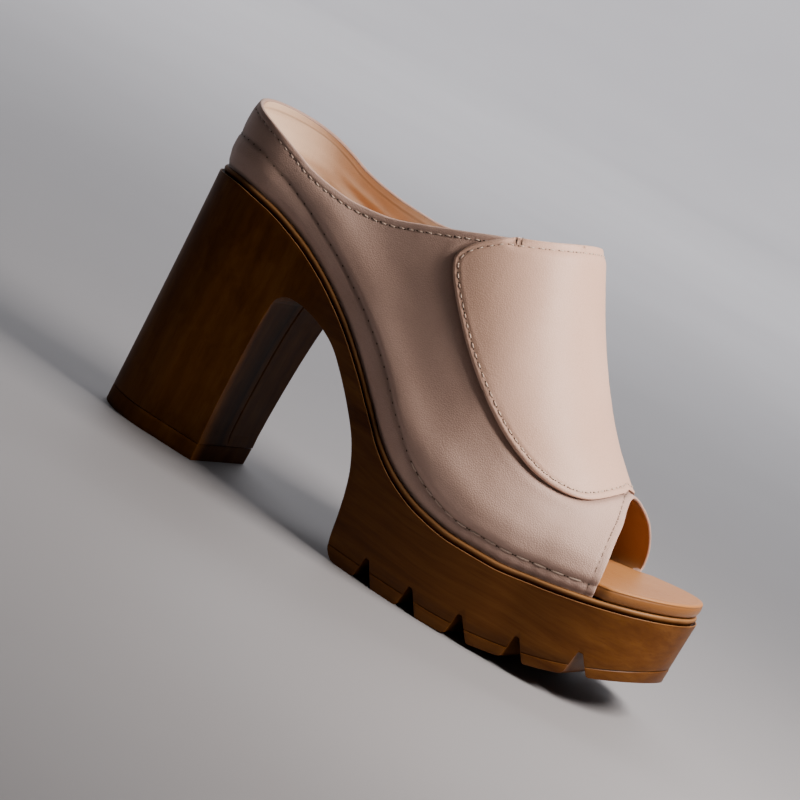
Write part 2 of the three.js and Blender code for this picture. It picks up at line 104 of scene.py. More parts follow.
# ------------------------------------------------------------------ curves
def curve(rows, col, frm=0):
    """Monotone cubic through two columns of a table."""
    xs = np.array([r[frm] for r in rows], float)
    ys = np.array([r[col] for r in rows], float)
    h = np.diff(xs)
    d = np.diff(ys) / h
    m = np.zeros(len(xs))
    m[0], m[-1] = d[0], d[-1]
    for i in range(1, len(xs) - 1):
        if d[i - 1] * d[i] > 0:
            a, b = h[i - 1], h[i]
            m[i] = (3 * (a + b)) / ((2 * b + a) / d[i - 1] + (b + 2 * a) / d[i])

    def f(x):
        x = np.asarray(x, float)
        i = np.clip(np.searchsorted(xs, x, side="left") - 1, 0, len(xs) - 2)
        hh = h[i]
        t = (x - xs[i]) / hh
        v = (2 * t**3 - 3 * t**2 + 1) * ys[i] + (t**3 - 2 * t**2 + t) * hh * m[i] + (-2 * t**3 + 3 * t**2) * ys[i + 1] + (t**3 - t**2) * hh * m[i + 1]
        v = np.where(x < xs[0], ys[0] + m[0] * (x - xs[0]), v)
        return np.where(x > xs[-1], ys[-1] + m[-1] * (x - xs[-1]), v)

    return f


def smooth(a, b, v):
    t = np.clip((v - a) / (b - a), 0, 1)
    return t * t * (3 - 2 * t)


rim_outer, rim_inner, rim_height = curve(RIM, 1), curve(RIM, 2), curve(RIM, 3)
ridge_height, ridge_mid = curve(RIDGE, 1), curve(RIDGE, 2)
collar_height, cup_out, seam_rise = curve(COLLAR, 1), curve(CUP, 1), curve(SEAM_RISE, 1)


def rim_half(x, side, inset=0.0):
    x = np.asarray(x, float)
    back, tip, toe = HEEL_BACK + inset, TOE_TIP - inset, TOE_CAP - inset * 0.5
    cap = np.ones_like(x)
    cap = np.where(x < back + HEEL_CAP, np.sqrt(np.clip(1 - ((back + HEEL_CAP - x) / HEEL_CAP) ** 2, 0, 1)), cap)
    cap = np.where(x > tip - toe, np.sqrt(np.clip(1 - np.clip((x - tip + toe) / toe, 0, 1) ** TOE_POWER, 0, 1)), cap)
    return (np.where(np.asarray(side) < 0, rim_outer(x), rim_inner(x)) - inset) * cap


def seat(x):
    return rim_height(x) + BEAD


def spring(x):
    return SPRING * np.clip((x - SPRING_FROM) / (TOE_TIP - SPRING_FROM), 0, 1.3) ** 2


def outline(inset, n):
    t = np.linspace(0, 1, n + 1)
    c = (1 - np.cos(np.pi * t)) / 2
    u = t + (c - t) * 0.93
    xs = HEEL_BACK + inset + (TOE_TIP - HEEL_BACK - 2 * inset) * u
    o = np.stack([xs, -rim_half(xs, -1, inset)], 1)
    i = np.stack([xs, rim_half(xs, 1, inset)], 1)[1:-1][::-1]
    o[0, 1] = o[-1, 1] = 0
    return np.concatenate([o, i])


# ------------------------------------------------------------------ mesh helpers
COLLECTION = bpy.context.scene.collection


def to_row(P):
    return (np.asarray(P, float).reshape(-1, 3) - ORIGIN) / 1000.0


def make(name, verts, faces, material, uv=None, shade=None, smooth_faces=True):
    """One object from vertices in mm; faces of 3 or more corners. shade is a value per vertex."""
    me = bpy.data.meshes.new(name)
    me.from_pydata([tuple(v) for v in to_row(verts)], [], [tuple(int(i) for i in f) for f in faces])
    if shade is not None:
        a = me.attributes.new("shade", "FLOAT", "POINT")
        a.data.foreach_set("value", np.asarray(shade, np.float32).ravel())
    if uv is not None:
        layer = me.uv_layers.new(name="UVMap")
        idx = np.empty(len(me.loops), np.int32)
        me.loops.foreach_get("vertex_index", idx)
        layer.data.foreach_set("uv", (np.asarray(uv, float).reshape(-1, 2)[idx] / 1000.0).ravel())
    me.validate()
    me.polygons.foreach_set("use_smooth", [smooth_faces] * len(me.polygons))
    me.materials.append(material)
    o = bpy.data.objects.new(name, me)
    COLLECTION.objects.link(o)
    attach(o, "root")
    return o


def grid_faces(rows, cols, start=0, flip=False, wrap=False):
    f = []
    last = rows if wrap else rows - 1
    for i in range(last):
        a0, b0 = start + i * cols, start + ((i + 1) % rows) * cols
        for j in range(cols - 1):
            q = (a0 + j, b0 + j, b0 + j + 1, a0 + j + 1)
            f.append(q[::-1] if flip else q)
    return f


def weld(o, dist=1e-6):
    bm = bmesh.new()
    bm.from_mesh(o.data)
    bmesh.ops.remove_doubles(bm, verts=bm.verts, dist=dist)
    bmesh.ops.dissolve_degenerate(bm, edges=bm.edges, dist=1e-7)
    bm.to_mesh(o.data)
    bm.free()


def apply_modifiers(o):
    dg = bpy.context.evaluated_depsgraph_get()
    me = bpy.data.meshes.new_from_object(o.evaluated_get(dg))
    old = o.data
    o.modifiers.clear()
    o.data = me
    me.name = old.name
    bpy.data.meshes.remove(old)


# ------------------------------------------------------------------ materials
def nodes_of(name):
    m = bpy.data.materials.new(name)
    m.use_nodes = True
    nt = m.node_tree
    for n in list(nt.nodes):
        nt.nodes.remove(n)
    out = nt.nodes.new("ShaderNodeOutputMaterial")
    b = nt.nodes.new("ShaderNodeBsdfPrincipled")
    nt.links.new(b.outputs[0], out.inputs[0])
    return m, nt, b


class Net:
    """Short way to wire a material."""

    def __init__(self, name):
        self.m, self.nt, self.b = nodes_of(name)
        self.coord = self.nt.nodes.new("ShaderNodeTexCoord")

    def node(self, kind, **props):
        n = self.nt.nodes.new("ShaderNode" + kind)
        for k, v in props.items():
            setattr(n, k, v)
        return n

    def link(self, a, b):
        self.nt.links.new(a, b)

    def mapping(self, scale, source="Object", rotation=(0, 0, 0)):
        n = self.node("Mapping")
        n.inputs["Scale"].default_value = scale
        n.inputs["Rotation"].default_value = rotation
        self.link(self.coord.outputs[source], n.inputs[0])
        return n.outputs[0]

    def noise(self, vec, scale, detail=3.0, rough=0.55, distort=0.0):
        n = self.node("TexNoise")
        n.inputs["Scale"].default_value = scale
        n.inputs["Detail"].default_value = detail
        n.inputs["Roughness"].default_value = rough
        n.inputs["Distortion"].default_value = distort
        self.link(vec, n.inputs["Vector"])
        return n.outputs["Fac"]

    def voronoi(self, vec, scale, feature="DISTANCE_TO_EDGE", rand=1.0):
        n = self.node("TexVoronoi", feature=feature)
        n.inputs["Scale"].default_value = scale
        n.inputs["Randomness"].default_value = rand
        self.link(vec, n.inputs["Vector"])
        return n.outputs["Distance"]

    def ramp(self, fac, stops, mode="LINEAR"):
        n = self.node("ValToRGB")
        cr = n.color_ramp
        cr.interpolation = mode
        while len(cr.elements) > 1:
            cr.elements.remove(cr.elements[-1])
        for i, (p, c) in enumerate(stops):
            e = cr.elements[0] if i == 0 else cr.elements.new(p)
            e.position = p
            e.color = (*c, 1) if len(c) == 3 else c
        self.link(fac, n.inputs[0])
        return n.outputs[0]

    def math(self, op, a, b=0.5, c=None, clamp=False):
        n = self.node("Math", operation=op, use_clamp=clamp)
        for i, v in enumerate([a, b] + ([c] if c is not None else [])):
            if isinstance(v, (int, float)):
                n.inputs[i].default_value = v
            else:
                self.link(v, n.inputs[i])
        return n.outputs[0]

    def mix(self, fac, a, b, mode="MIX"):
        n = self.node("Mix", data_type="RGBA", blend_type=mode)
        for sock, v in ((n.inputs[0], fac), (n.inputs[6], a), (n.inputs[7], b)):
            if isinstance(v, (int, float)):
                sock.default_value = v
            elif isinstance(v, (tuple, list)):
                sock.default_value = (*v, 1) if len(v) == 3 else v
            else:
                self.link(v, sock)
        return n.outputs[2]

    def attribute(self, name):
        n = self.node("Attribute", attribute_name=name)
        return n.outputs["Fac"]

    def bump(self, height, distance, strength=1.0, normal=None):
        n = self.node("Bump")
        n.inputs["Strength"].default_value = strength
        n.inputs["Distance"].default_value = distance
        self.link(height, n.inputs["Height"])
        if normal is not None:
            self.link(normal, n.inputs["Normal"])
        return n.outputs[0]

    def set(self, **vals):
        for k, v in vals.items():
            s = self.b.inputs[k.replace("_", " ")]
            if isinstance(v, (int, float, tuple, list)):
                s.default_value = (*v, 1) if isinstance(v, (tuple, list)) and len(v) == 3 else v
            else:
                self.link(v, s)
        return self.m


def leather(name, base, dark, light, grain=1500.0, rough=(0.42, 0.56), depth=0.00007, sheen=0.08, coat=0.05, bumpy=0.55):
    """Smooth full-grain leather: fine cells, pores, cloudy tone, and painted shade in seam grooves, troughs and under
    edges (attribute shade).
    """
    n = Net(name)
    v = n.mapping((1, 1, 1))
    clouds = n.noise(v, 26.0, 4.0, 0.5)
    fine = n.noise(v, 420.0, 4.0, 0.6)
    cells = n.voronoi(v, grain, "DISTANCE_TO_EDGE")
    small = n.voronoi(v, grain * 2.3, "F1")
    tone = n.mix(n.ramp(clouds, [(0.3, (0, 0, 0)), (0.7, (1, 1, 1))]), dark, light)
    tone = n.mix(0.5, tone, base)
    creasey = n.ramp(cells, [(0.0, (0.72, 0.72, 0.72)), (0.13, (1, 1, 1))])
    tone = n.mix(0.35, tone, n.mix(1.0, tone, creasey, "MULTIPLY"))
    tone = n.mix(n.math("MULTIPLY", n.ramp(fine, [(0.35, (0, 0, 0)), (0.75, (1, 1, 1))]), 0.16), tone, dark)
    # painted shade: the tone goes darker where the attribute shade is above zero
    seam = n.attribute("shade")
    tone = n.mix(n.math("MULTIPLY", seam, 0.85, clamp=True), tone, tuple(c * 0.42 for c in dark))
    r = n.node("MapRange")
    r.inputs["To Min"].default_value, r.inputs["To Max"].default_value = rough
    n.link(n.noise(v, 240.0, 3.0), r.inputs["Value"])
    h = n.math("MULTIPLY", n.ramp(cells, [(0.0, (0, 0, 0)), (0.22, (1, 1, 1))]), 0.7)
    h = n.math("ADD", h, n.math("MULTIPLY", small, 0.5))
    b = n.bump(h, depth, bumpy)
    b = n.bump(n.noise(v, 150.0, 4.0, 0.55), 0.00022, 0.35, b)
    n.set(Base_Color=tone, Roughness=r.outputs[0], Normal=b)
    n.b.inputs["Sheen Weight"].default_value = sheen
    n.b.inputs["Sheen Roughness"].default_value = 0.4
    n.b.inputs["Coat Weight"].default_value = coat
    n.b.inputs["Coat Roughness"].default_value = 0.38
    n.b.inputs["Specular IOR Level"].default_value = 0.26
    return n.m


def wood_look(name, dark, mid, light, rough=(0.3, 0.44), coat=0.25):
    """Stained wood-look moulding: grain runs along the shoe, with streaks and pores, painted shade in grooves and
    painted highlights on edges (attribute shade).
    """
    n = Net(name)
    v = n.mapping((1.0, 1.0, 1.0))
    warp = n.noise(n.mapping((3.0, 9.0, 9.0)), 3.0, 3.0, 0.5)
    stretched = n.node("VectorMath", operation="ADD")
    scaled = n.mapping((6.0, 46.0, 150.0))
    n.link(scaled, stretched.inputs[0])
    push = n.node("CombineXYZ")
    n.link(n.math("MULTIPLY", warp, 3.0), push.inputs[2])
    n.link(push.outputs[0], stretched.inputs[1])
    pos = n.node("SeparateXYZ")
    n.link(v, pos.inputs[0])
    to_front = n.node("MapRange", interpolation_type="SMOOTHSTEP")
    to_front.inputs["From Min"].default_value, to_front.inputs["From Max"].default_value = -0.062, -0.036
    n.link(pos.outputs[0], to_front.inputs["Value"])
    upright = n.node("VectorMath", operation="ADD")
    n.link(n.mapping((90.0, 90.0, 7.0)), upright.inputs[0])
    n.link(push.outputs[0], upright.inputs[1])
    streak = n.mix(to_front.outputs[0], n.noise(upright.outputs[0], 1.5, 6.0, 0.6), n.noise(stretched.outputs[0], 1.6, 6.0, 0.62))
    fibre = n.mix(to_front.outputs[0], n.noise(n.mapping((1100.0, 1100.0, 60.0)), 1.0, 4.0, 0.6), n.noise(n.mapping((55.0, 420.0, 1500.0)), 1.0, 4.0, 0.6))
    cloud = n.noise(v, 22.0, 4.0, 0.55)
    tone = n.ramp(streak, [(0.28, dark), (0.5, mid), (0.74, light)])
    tone = n.mix(n.math("MULTIPLY", n.ramp(cloud, [(0.35, (0, 0, 0)), (0.7, (1, 1, 1))]), 0.45), tone, mid)
    tone = n.mix(n.math("MULTIPLY", n.ramp(fibre, [(0.55, (0, 0, 0)), (0.72, (1, 1, 1))]), 0.4), tone, dark)
    # painted shade: the tone goes darker where the attribute shade is above zero
    seam = n.attribute("shade")
    tone = n.mix(n.math("MULTIPLY", seam, 0.9, clamp=True), tone, tuple(c * 0.3 for c in dark))
    # painted highlight: edges lighter, unevenly, where the attribute shade is below zero
    painted_highlight = n.math("MULTIPLY", n.math("MULTIPLY", seam, -1.0, clamp=True), n.math("MULTIPLY_ADD", cloud, 1.1, 0.25), clamp=True)
    tone = n.mix(painted_highlight, tone, (0.50, 0.27, 0.12))
    r = n.node("MapRange")
    r.inputs["To Min"].default_value, r.inputs["To Max"].default_value = rough
    n.link(n.noise(v, 90.0, 4.0), r.inputs["Value"])
    b = n.bump(fibre, 0.00005, 0.5)
    b = n.bump(streak, 0.00022, 0.35, b)
    n.set(Base_Color=tone, Roughness=r.outputs[0], Normal=b)
    n.b.inputs["Coat Weight"].default_value = coat
    n.b.inputs["Coat Roughness"].default_value = 0.3
    n.link(n.math("MULTIPLY_ADD", to_front.outputs[0], 0.08, 0.03), n.b.inputs["Specular IOR Level"])
    return n.m


def plain_thread(name, color, dark):
    n = Net(name)
    v = n.mapping((1, 1, 1))
    twist = n.node("TexWave", wave_type="BANDS", bands_direction="DIAGONAL")
    twist.inputs["Scale"].default_value = 900.0
    twist.inputs["Distortion"].default_value = 2.0
    n.link(v, twist.inputs["Vector"])
    tone = n.mix(n.math("MULTIPLY", twist.outputs["Fac"], 0.5), color, dark)
    n.set(Base_Color=tone, Roughness=0.7, Normal=n.bump(twist.outputs["Fac"], 0.00008, 0.6))
    n.b.inputs["Sheen Weight"].default_value = 0.25
    return n.m


M_UPPER = leather("upper_leather", (0.55, 0.36, 0.29), (0.45, 0.285, 0.225), (0.63, 0.425, 0.35), grain=1350.0, depth=0.0001, bumpy=0.75)
M_OVERLAY = leather("overlay_leather", (0.665, 0.412, 0.308), (0.595, 0.358, 0.26), (0.725, 0.467, 0.358), grain=1300.0, depth=0.00008, bumpy=0.55)
M_LINING = leather("lining_leather", (0.88, 0.66, 0.485), (0.82, 0.595, 0.42), (0.93, 0.72, 0.55), grain=1900.0, rough=(0.5, 0.62), depth=0.00004)
M_TOE_LINING = leather("toe_lining_leather", (0.37, 0.18, 0.066), (0.29, 0.135, 0.045), (0.45, 0.225, 0.092), grain=1700.0, rough=(0.36, 0.5), depth=0.00004, coat=0.15)
M_INSOLE = leather("insole_leather", (0.415, 0.168, 0.044), (0.33, 0.122, 0.029), (0.485, 0.214, 0.066), grain=1700.0, rough=(0.38, 0.52), depth=0.00005, coat=0.08)
M_SOLE = wood_look("sole_wood_look", (0.066, 0.0185, 0.0028), (0.112, 0.038, 0.0058), (0.172, 0.066, 0.0125), rough=(0.36, 0.5), coat=0.03)
M_LIFT = wood_look("top_piece_look", (0.064, 0.018, 0.003), (0.106, 0.036, 0.006), (0.155, 0.06, 0.012), rough=(0.46, 0.6), coat=0.0)
M_THREAD = plain_thread("thread_light", (0.66, 0.50, 0.40), (0.46, 0.33, 0.25))
M_THREAD_DARK = plain_thread("thread_shade", (0.30, 0.20, 0.145), (0.16, 0.10, 0.07))


def hole_material():
    # near-black: painted shade inside the needle holes
    n = Net("needle_hole")
    n.set(Base_Color=n.ramp(n.noise(n.mapping((1, 1, 1)), 900.0), [(0.3, (0.05, 0.03, 0.02)), (0.7, (0.12, 0.075, 0.05))]), Roughness=0.9)
    return n.m


M_HOLE = hole_material()


# ------------------------------------------------------------------ sole unit
def wall_ring(plan, z, extra=0.0):
    """Ring of the sole's wall: the rim's plan, drawn in by the draft at height z(x)."""
    x, y = plan[:, 0], plan[:, 1]
    rim = rim_height(x)
    v = (z + 6.0) / (rim + 6.0)
    heel = 1 - smooth(60, 112, x)
    down = 1 - (0.78 * v + 0.22 * v**4)
    w = np.where(y < 0, rim_outer(x), rim_inner(x))
    k = (w - (WALL_DRAFT + (HEEL_DRAFT - WALL_DRAFT) * heel) * down - extra) / w
    back = smooth(24, HEEL_BACK, x) * (HEEL_LEAN * down + extra)
    tip = smooth(190, TOE_TIP, x) * (WALL_DRAFT * down + extra)
    return np.stack([x + back - tip, y * k, z + 0 * x], 1)


def solid_rings(name, rings, material, shades=None):
    n = len(rings[0])
    verts = np.concatenate(rings)
    faces = []
    for k in range(len(rings) - 1):
        for i in range(n):
            j = (i + 1) % n
            faces.append((k * n + i, k * n + j, (k + 1) * n + j, (k + 1) * n + i))
    half = n // 2

    def cap(base, up):
        for i in range(half):
            a, b, c, d = base + i, base + i + 1, base + (n - i - 1) % n, base + (n - i) % n
            f = (a, b, c, d) if i > 0 else (a, b, c)
            if i == half - 1:
                f = (a, b, d)
            faces.append(f if up else f[::-1])

    cap(0, False)
    cap((len(rings) - 1) * n, True)
    sh = None if shades is None else np.repeat(np.asarray(shades, float), n)
    return make(name, verts, faces, material, shade=sh)


def fillet(points, radii, seg=4):
    """Rounds the corners of an open or closed outline in the side view."""
    P = [np.array(p, float) for p in points]
    out, n = [], len(P)
    for i in range(n):
        r = radii[i]
        if r <= 0:
            out.append(P[i])
            continue
        a, b = P[i - 1] - P[i], P[(i + 1) % n] - P[i]
        la, lb = np.linalg.norm(a), np.linalg.norm(b)
        a, b = a / la, b / lb
        cosang = np.clip(a @ b, -1, 1)
        ang = math.acos(cosang)
        t = min(r / math.tan(ang / 2), la * 0.45, lb * 0.45)
        p0, p1 = P[i] + a * t, P[i] + b * t
        for k in range(seg + 1):
            s = k / seg
            out.append((1 - s) ** 2 * p0 + 2 * s * (1 - s) * P[i] + s * s * p1)
    return out


def smooth_line(points, step):
    """Centripetal spline through points, resampled about every step."""
    P = np.array(points, float)
    Q = np.vstack([2 * P[0] - P[1], P, 2 * P[-1] - P[-2]])
    out = []
    for i in range(1, len(Q) - 2):
        p0, p1, p2, p3 = Q[i - 1 : i + 3]
        t = np.cumsum([0] + [max(np.linalg.norm(b - a), 1e-6) ** 0.5 for a, b in ((p0, p1), (p1, p2), (p2, p3))])
        k = max(1, int(round(np.linalg.norm(p2 - p1) / step)))
        for u in np.linspace(t[1], t[2], k, endpoint=False):
            a1 = (t[1] - u) / (t[1] - t[0]) * p0 + (u - t[0]) / (t[1] - t[0]) * p1
            a2 = (t[2] - u) / (t[2] - t[1]) * p1 + (u - t[1]) / (t[2] - t[1]) * p2
            a3 = (t[3] - u) / (t[3] - t[2]) * p2 + (u - t[2]) / (t[3] - t[2]) * p3
            b1 = (t[2] - u) / (t[2] - t[0]) * a1 + (u - t[0]) / (t[2] - t[0]) * a2
            b2 = (t[3] - u) / (t[3] - t[1]) * a2 + (u - t[1]) / (t[3] - t[1]) * a3
            out.append((t[2] - u) / (t[2] - t[1]) * b1 + (u - t[1]) / (t[2] - t[1]) * b2)
    out.append(P[-1])
    return out


def prism(name, line, ys=(-90.0, 90.0), shift=None):
    """Closed prism across the shoe, in the turned direction of the tread; shift moves x by (y, x, z)."""
    n, m = len(line), len(ys)
    verts = []
    for y in ys:
        for x, z in line:
            verts.append((x + TREAD_TURN * y - (shift(y, x, z) if shift else 0.0), y, z))
    faces = []
    for k in range(m - 1):
        faces += [(k * n + i, k * n + (i + 1) % n, (k + 1) * n + (i + 1) % n, (k + 1) * n + i) for i in range(n)]
    faces += [tuple(range(n))[::-1], tuple(range((m - 1) * n, m * n))]
    me = bpy.data.meshes.new(name)
    me.from_pydata([tuple(v) for v in to_row(verts)], [], faces)
    bm = bmesh.new()
    bm.from_mesh(me)
    bmesh.ops.recalc_face_normals(bm, faces=bm.faces)
    bm.to_mesh(me)
    bm.free()
    o = bpy.data.objects.new(name, me)
    COLLECTION.objects.link(o)
    return o


def cut(o, tool, operation="DIFFERENCE"):
    m = o.modifiers.new("cut", "BOOLEAN")
    m.operation, m.solver, m.object = operation, "EXACT", tool
    apply_modifiers(o)
    bpy.data.objects.remove(tool)


def rounded(o, width, segments=2, angle=38):
    m = o.modifiers.new("round", "BEVEL")
    m.width, m.segments, m.limit_method, m.angle_limit = width, segments, "ANGLE", math.radians(angle)
    m.use_clamp_overlap = True
    m.harden_normals = False
    apply_modifiers(o)


def underside_line():
    line, radii = [(-40, LIFT + GAP)], [0]
    arch = [p for p in ARCH if p[1] > LIFT + GAP or p[0] > 100]
    line.append((ARCH[0][0], LIFT + GAP))
    radii.append(0)
    for p in smooth_line([(46.75, 8.0)] + arch, 1.6):
        line.append(tuple(p))
        radii.append(0)
    for i, (back, front) in enumerate(LUGS):
        if i > 0:
            line.append((back, float(spring(back))))
            radii.append(1.2)
        end = min(front, 238.0)
        steps = max(1, int(round((end - back) / 3.0)))
        for k in range(1, steps + 1):
            x = back + (end - back) * k / steps
            line.append((x, float(spring(x))))
            radii.append(1.9 if k == steps and i + 1 < len(LUGS) else 0)
        if i + 1 < len(LUGS):
            top = float(spring((front + LUGS[i + 1][0]) / 2)) + NOTCH
            line += [(front + NOTCH_BACK, top), (front + NOTCH_BACK + NOTCH_TOP, top)]
            radii += [0.5, 0.8]
    line += [(262, float(spring(238.0))), (262, -40), (-40, -40)]
    radii += [0, 0, 0]
    return fillet(line, radii, 3)


N = 150
plan = outline(0.0, N)
px = plan[:, 0]
rings, shades = [wall_ring(plan, -6.0 + 0 * px)], [0]
on_tread = smooth(100, 112, px)
tread_z = spring(px) + 4.6
# third value is the attribute shade: painted shade in the small groove of the tread's parting line
for dz, depth, sh in ((-0.42, -0.12, 0), (-0.2, -0.1, 0.0), (-0.05, 0.12, 0.45), (0.12, 0.26, 0.9), (0.42, 0.0, 0)):
    rings.append(wall_ring(plan, tread_z + dz, depth * on_tread))
    shades.append(sh)
for v in (0.16, 0.3, 0.44, 0.58, 0.7, 0.8, 0.88, 0.94, 0.975):
    rings.append(wall_ring(plan, tread_z + 0.42 + (rim_height(px) - tread_z - 0.42) * v))
    shades.append(0)


def rim_ring(inset, rise):
    p = outline(inset, N)
    return np.stack([p[:, 0], p[:, 1], rim_height(p[:, 0]) + rise], 1)


# third value is the attribute shade: the wall's top edge and the bead's top painted lighter as highlights (below
# zero), the channel under the bead and the land under the upper painted darker as shade (above zero)
for inset, rise, sh in (
    (0.0, -0.3, 0), (0.02, -0.16, -0.1), (0.1, -0.04, -0.45), (0.24, 0.0, -0.55), (0.42, -0.05, -0.4), (0.62, -0.3, 0.3), (0.85, -0.75, 0.8),
    (1.1, -0.9, 1.0), (1.4, -0.95, 1.0), (1.65, -0.75, 1.0), (1.72, -0.4, 0.9), (1.55, 0.0, 0.6), (1.25, 0.4, 0.25), (1.0, 0.85, 0.0), (0.88, 1.35, -0.15),
    (0.92, 1.8, -0.4), (1.12, 2.18, -0.5), (1.5, 2.42, -0.2), (2.2, 2.5, 0.6), (3.2, 2.5, 0.8),
):
    rings.append(rim_ring(inset, rise))
    shades.append(sh)

sole = solid_rings("sole_unit_moulding", rings, M_SOLE, shades)


def breast(y, x, z):
    """Seam down the middle of the heel's breast, deeper near the arch, in a face that is a little hollow."""
    if x > 60 or z < LIFT:
        return 0.0
    fade = float(1 - smooth(66.0, 69.6, z)) * float(smooth(LIFT, 12.0, z))
    seam_line = (0.35 + 0.75 * float(smooth(30, 62, z))) * math.exp(-((y / 0.34) ** 2))
    hollow = 0.7 * max(0.0, 1 - (y / 26.0) ** 2)
    return fade * (seam_line + hollow)


BREAST_YS = [-90, -27, -24, -20, -15, -10, -5, -1.2, -0.7, -0.45, -0.3, -0.15, 0, 0.15, 0.3, 0.45, 0.7, 1.2, 5, 10, 15, 20, 24, 27, 90]
cut(sole, prism("tool_under", underside_line(), BREAST_YS, breast))
rounded(sole, 0.00045, 2, 40)
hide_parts("sole_unit")

lift_rings = [wall_ring(plan, z + 0 * px) for z in (0.0, 1.6, 3.2, 4.8, LIFT)]
lift = solid_rings("heel_top_lift", lift_rings, M_LIFT, [0] * 5)
cut(lift, prism("tool_breast", [(ARCH[0][0], -20), (300, -20), (300, 40), (ARCH[0][0] - 0.2, 40)]))
rounded(lift, 0.0005, 2, 40)
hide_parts("heel_top_piece")

# ------------------------------------------------------------------ insole
def mouth_x(y):
    return MOUTH_OUTER + (MOUTH_INNER - MOUTH_OUTER) * np.clip((y + 38) / 74, 0, 1)


def insole_ring(inset, height):
    wide, slim = outline(INSOLE_EDGE + inset, N), outline(UPPER_IN + WALL + GAP + 0.6 + inset, N)
    t = smooth(0.6, 4.5, wide[:, 0] - mouth_x(wide[:, 1]))[:, None]
    p = slim + (wide - slim) * t
    return np.stack([p[:, 0], p[:, 1], seat(p[:, 0]) + GAP + height], 1)


# third column is the attribute shade: painted shade in the gap under the edge at the bottom rows, and the wrapped edge
# darker than the top
insole_rows = [
    (1.2, -0.2, 1.0), (0.45, 0.1, 0.85), (0.08, 0.7, 0.45), (-0.12, 1.5, 0.75), (-0.18, 2.4, 0.7), (-0.12, 3.2, 0.7), (0.0, 3.75, 0.75),
    (0.10, 3.9, 0.95), (0.10, 4.0, 0.9), (0.02, 4.15, 0.25), (0.12, 4.5, 0), (0.4, 4.84, 0), (0.85, 5.02, 0), (1.5, 5.1, 0), (2.3, 5.08, 0.12), (3.2, 5.1, 0),
    (6.0, 5.14, 0), (10.0, 5.2, 0), (16.0, 5.25, 0), (22.0, 5.25, 0),
]
insole = solid_rings("insole_wrapped", [insole_ring(a, b) for a, b, _ in insole_rows], M_INSOLE, [c for _, _, c in insole_rows])
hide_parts("insole")

# ------------------------------------------------------------------ upper
UP_BACK = HEEL_BACK + UPPER_IN


def strip(p, side):
    p = np.asarray(p, float)
    rnd = 0.14
    g = np.where(p < rnd, p * p / (2 * rnd), p - rnd / 2)
    t = g / (1 - rnd / 2)
    mouth = np.where(np.asarray(side) < 0, MOUTH_OUTER, MOUTH_INNER)
    x = UP_BACK + (mouth - UP_BACK) * t
    half = rim_half(x, side, UPPER_IN)
    w = smooth(0.6, 1, t)
    both = UP_BACK + ((MOUTH_OUTER + MOUTH_INNER) / 2 - UP_BACK) * t  # the same ridge for both halves
    top = (UP_BACK + (MOUTH_TOP - UP_BACK) * t) * w + (x + (both - x) * smooth(0.15, 0.5, t)) * (1 - w)
    foot = seat(x) + GAP
    height = ridge_height(top) - foot
    edge = np.clip((collar_height(top) - foot) / height, 0.02, 1)
    edge = np.where(top < COLLAR[-1][0], edge, 1.0)
    return x, half, top, foot, height, edge


def mouth_shift(p, q):
    """The toe opening's edge is drawn back over the toes."""
    return (0.003 * smooth(0.05, 0.35, q) - 0.0186 * smooth(0.58, 1.0, q)) * smooth(0.9, 1.0, p)


def surface(p, q, side):
    p = p + mouth_shift(p, q)
    x, half, top, foot, height, edge = strip(p, side)
    n = SECTION_POWER
    real = np.minimum(np.arcsin(edge ** (n / 2)) * 1.06, 0.86 * math.pi / 2)
    a = np.where(q < 0.86, (q / 0.86) * real, real + (math.pi / 2 - real) * (q - 0.86) / 0.14)
    k = np.clip(np.cos(a), 0, 1) ** (2 / n)
    rise = height * np.clip(np.sin(a), 0, 1) ** (2 / n)
    mid = ridge_mid(top) * (1 - k)
    P = np.stack([top + (x - top) * k**2.3, mid + side * half * k, foot + rise], -1)
    heel = 1 - smooth(12, 44, x)
    swell = FULL * np.exp(-(((rise - FULL_AT) / 10) ** 2)) * smooth(0, 4, rise)
    out = (swell + (cup_out(rise) - swell) * heel) * smooth(0, 0.35, k)
    dx, dy = np.where(x < 20, x - 20, 0.0), np.where(x < 20, side * half, side * 1.0)
    ln = np.hypot(dx, dy) + 1e-9
    P[..., 0] += dx / ln * out
    P[..., 1] += dy / ln * out
    return P


def over_collar(P):
    tilt = COLLAR_TILT + (COLLAR_DIP - COLLAR_TILT) * smooth(50, 95, P[..., 0])
    return P[..., 2] - (collar_height(P[..., 0]) + tilt * P[..., 1])


def edge_q(p, side, drop=0.0):
    """q of the collar's edge on each strip, 1 in front of the throat."""
    p = np.asarray(p, float)
    a, b = np.zeros_like(p), np.ones_like(p)
    has = over_collar(surface(p, b, side)) > -drop
    for _ in range(44):
        m = (a + b) / 2
        above = over_collar(surface(p, m, side)) > -drop
        b = np.where(above, m, b)
        a = np.where(above, a, m)
    return np.where(has, b, 1.0)


def throat_p(drop=0.0):
    a, b = 0.3, 0.95
    for _ in range(50):
        m = (a + b) / 2
        if over_collar(surface(np.array(m), np.array(1.0), -1)) > -drop:
            a = m
        else:
            b = m
    return (a + b) / 2


EDGE_DROP = 0.55  # the turned edge's own roundness comes back up this much


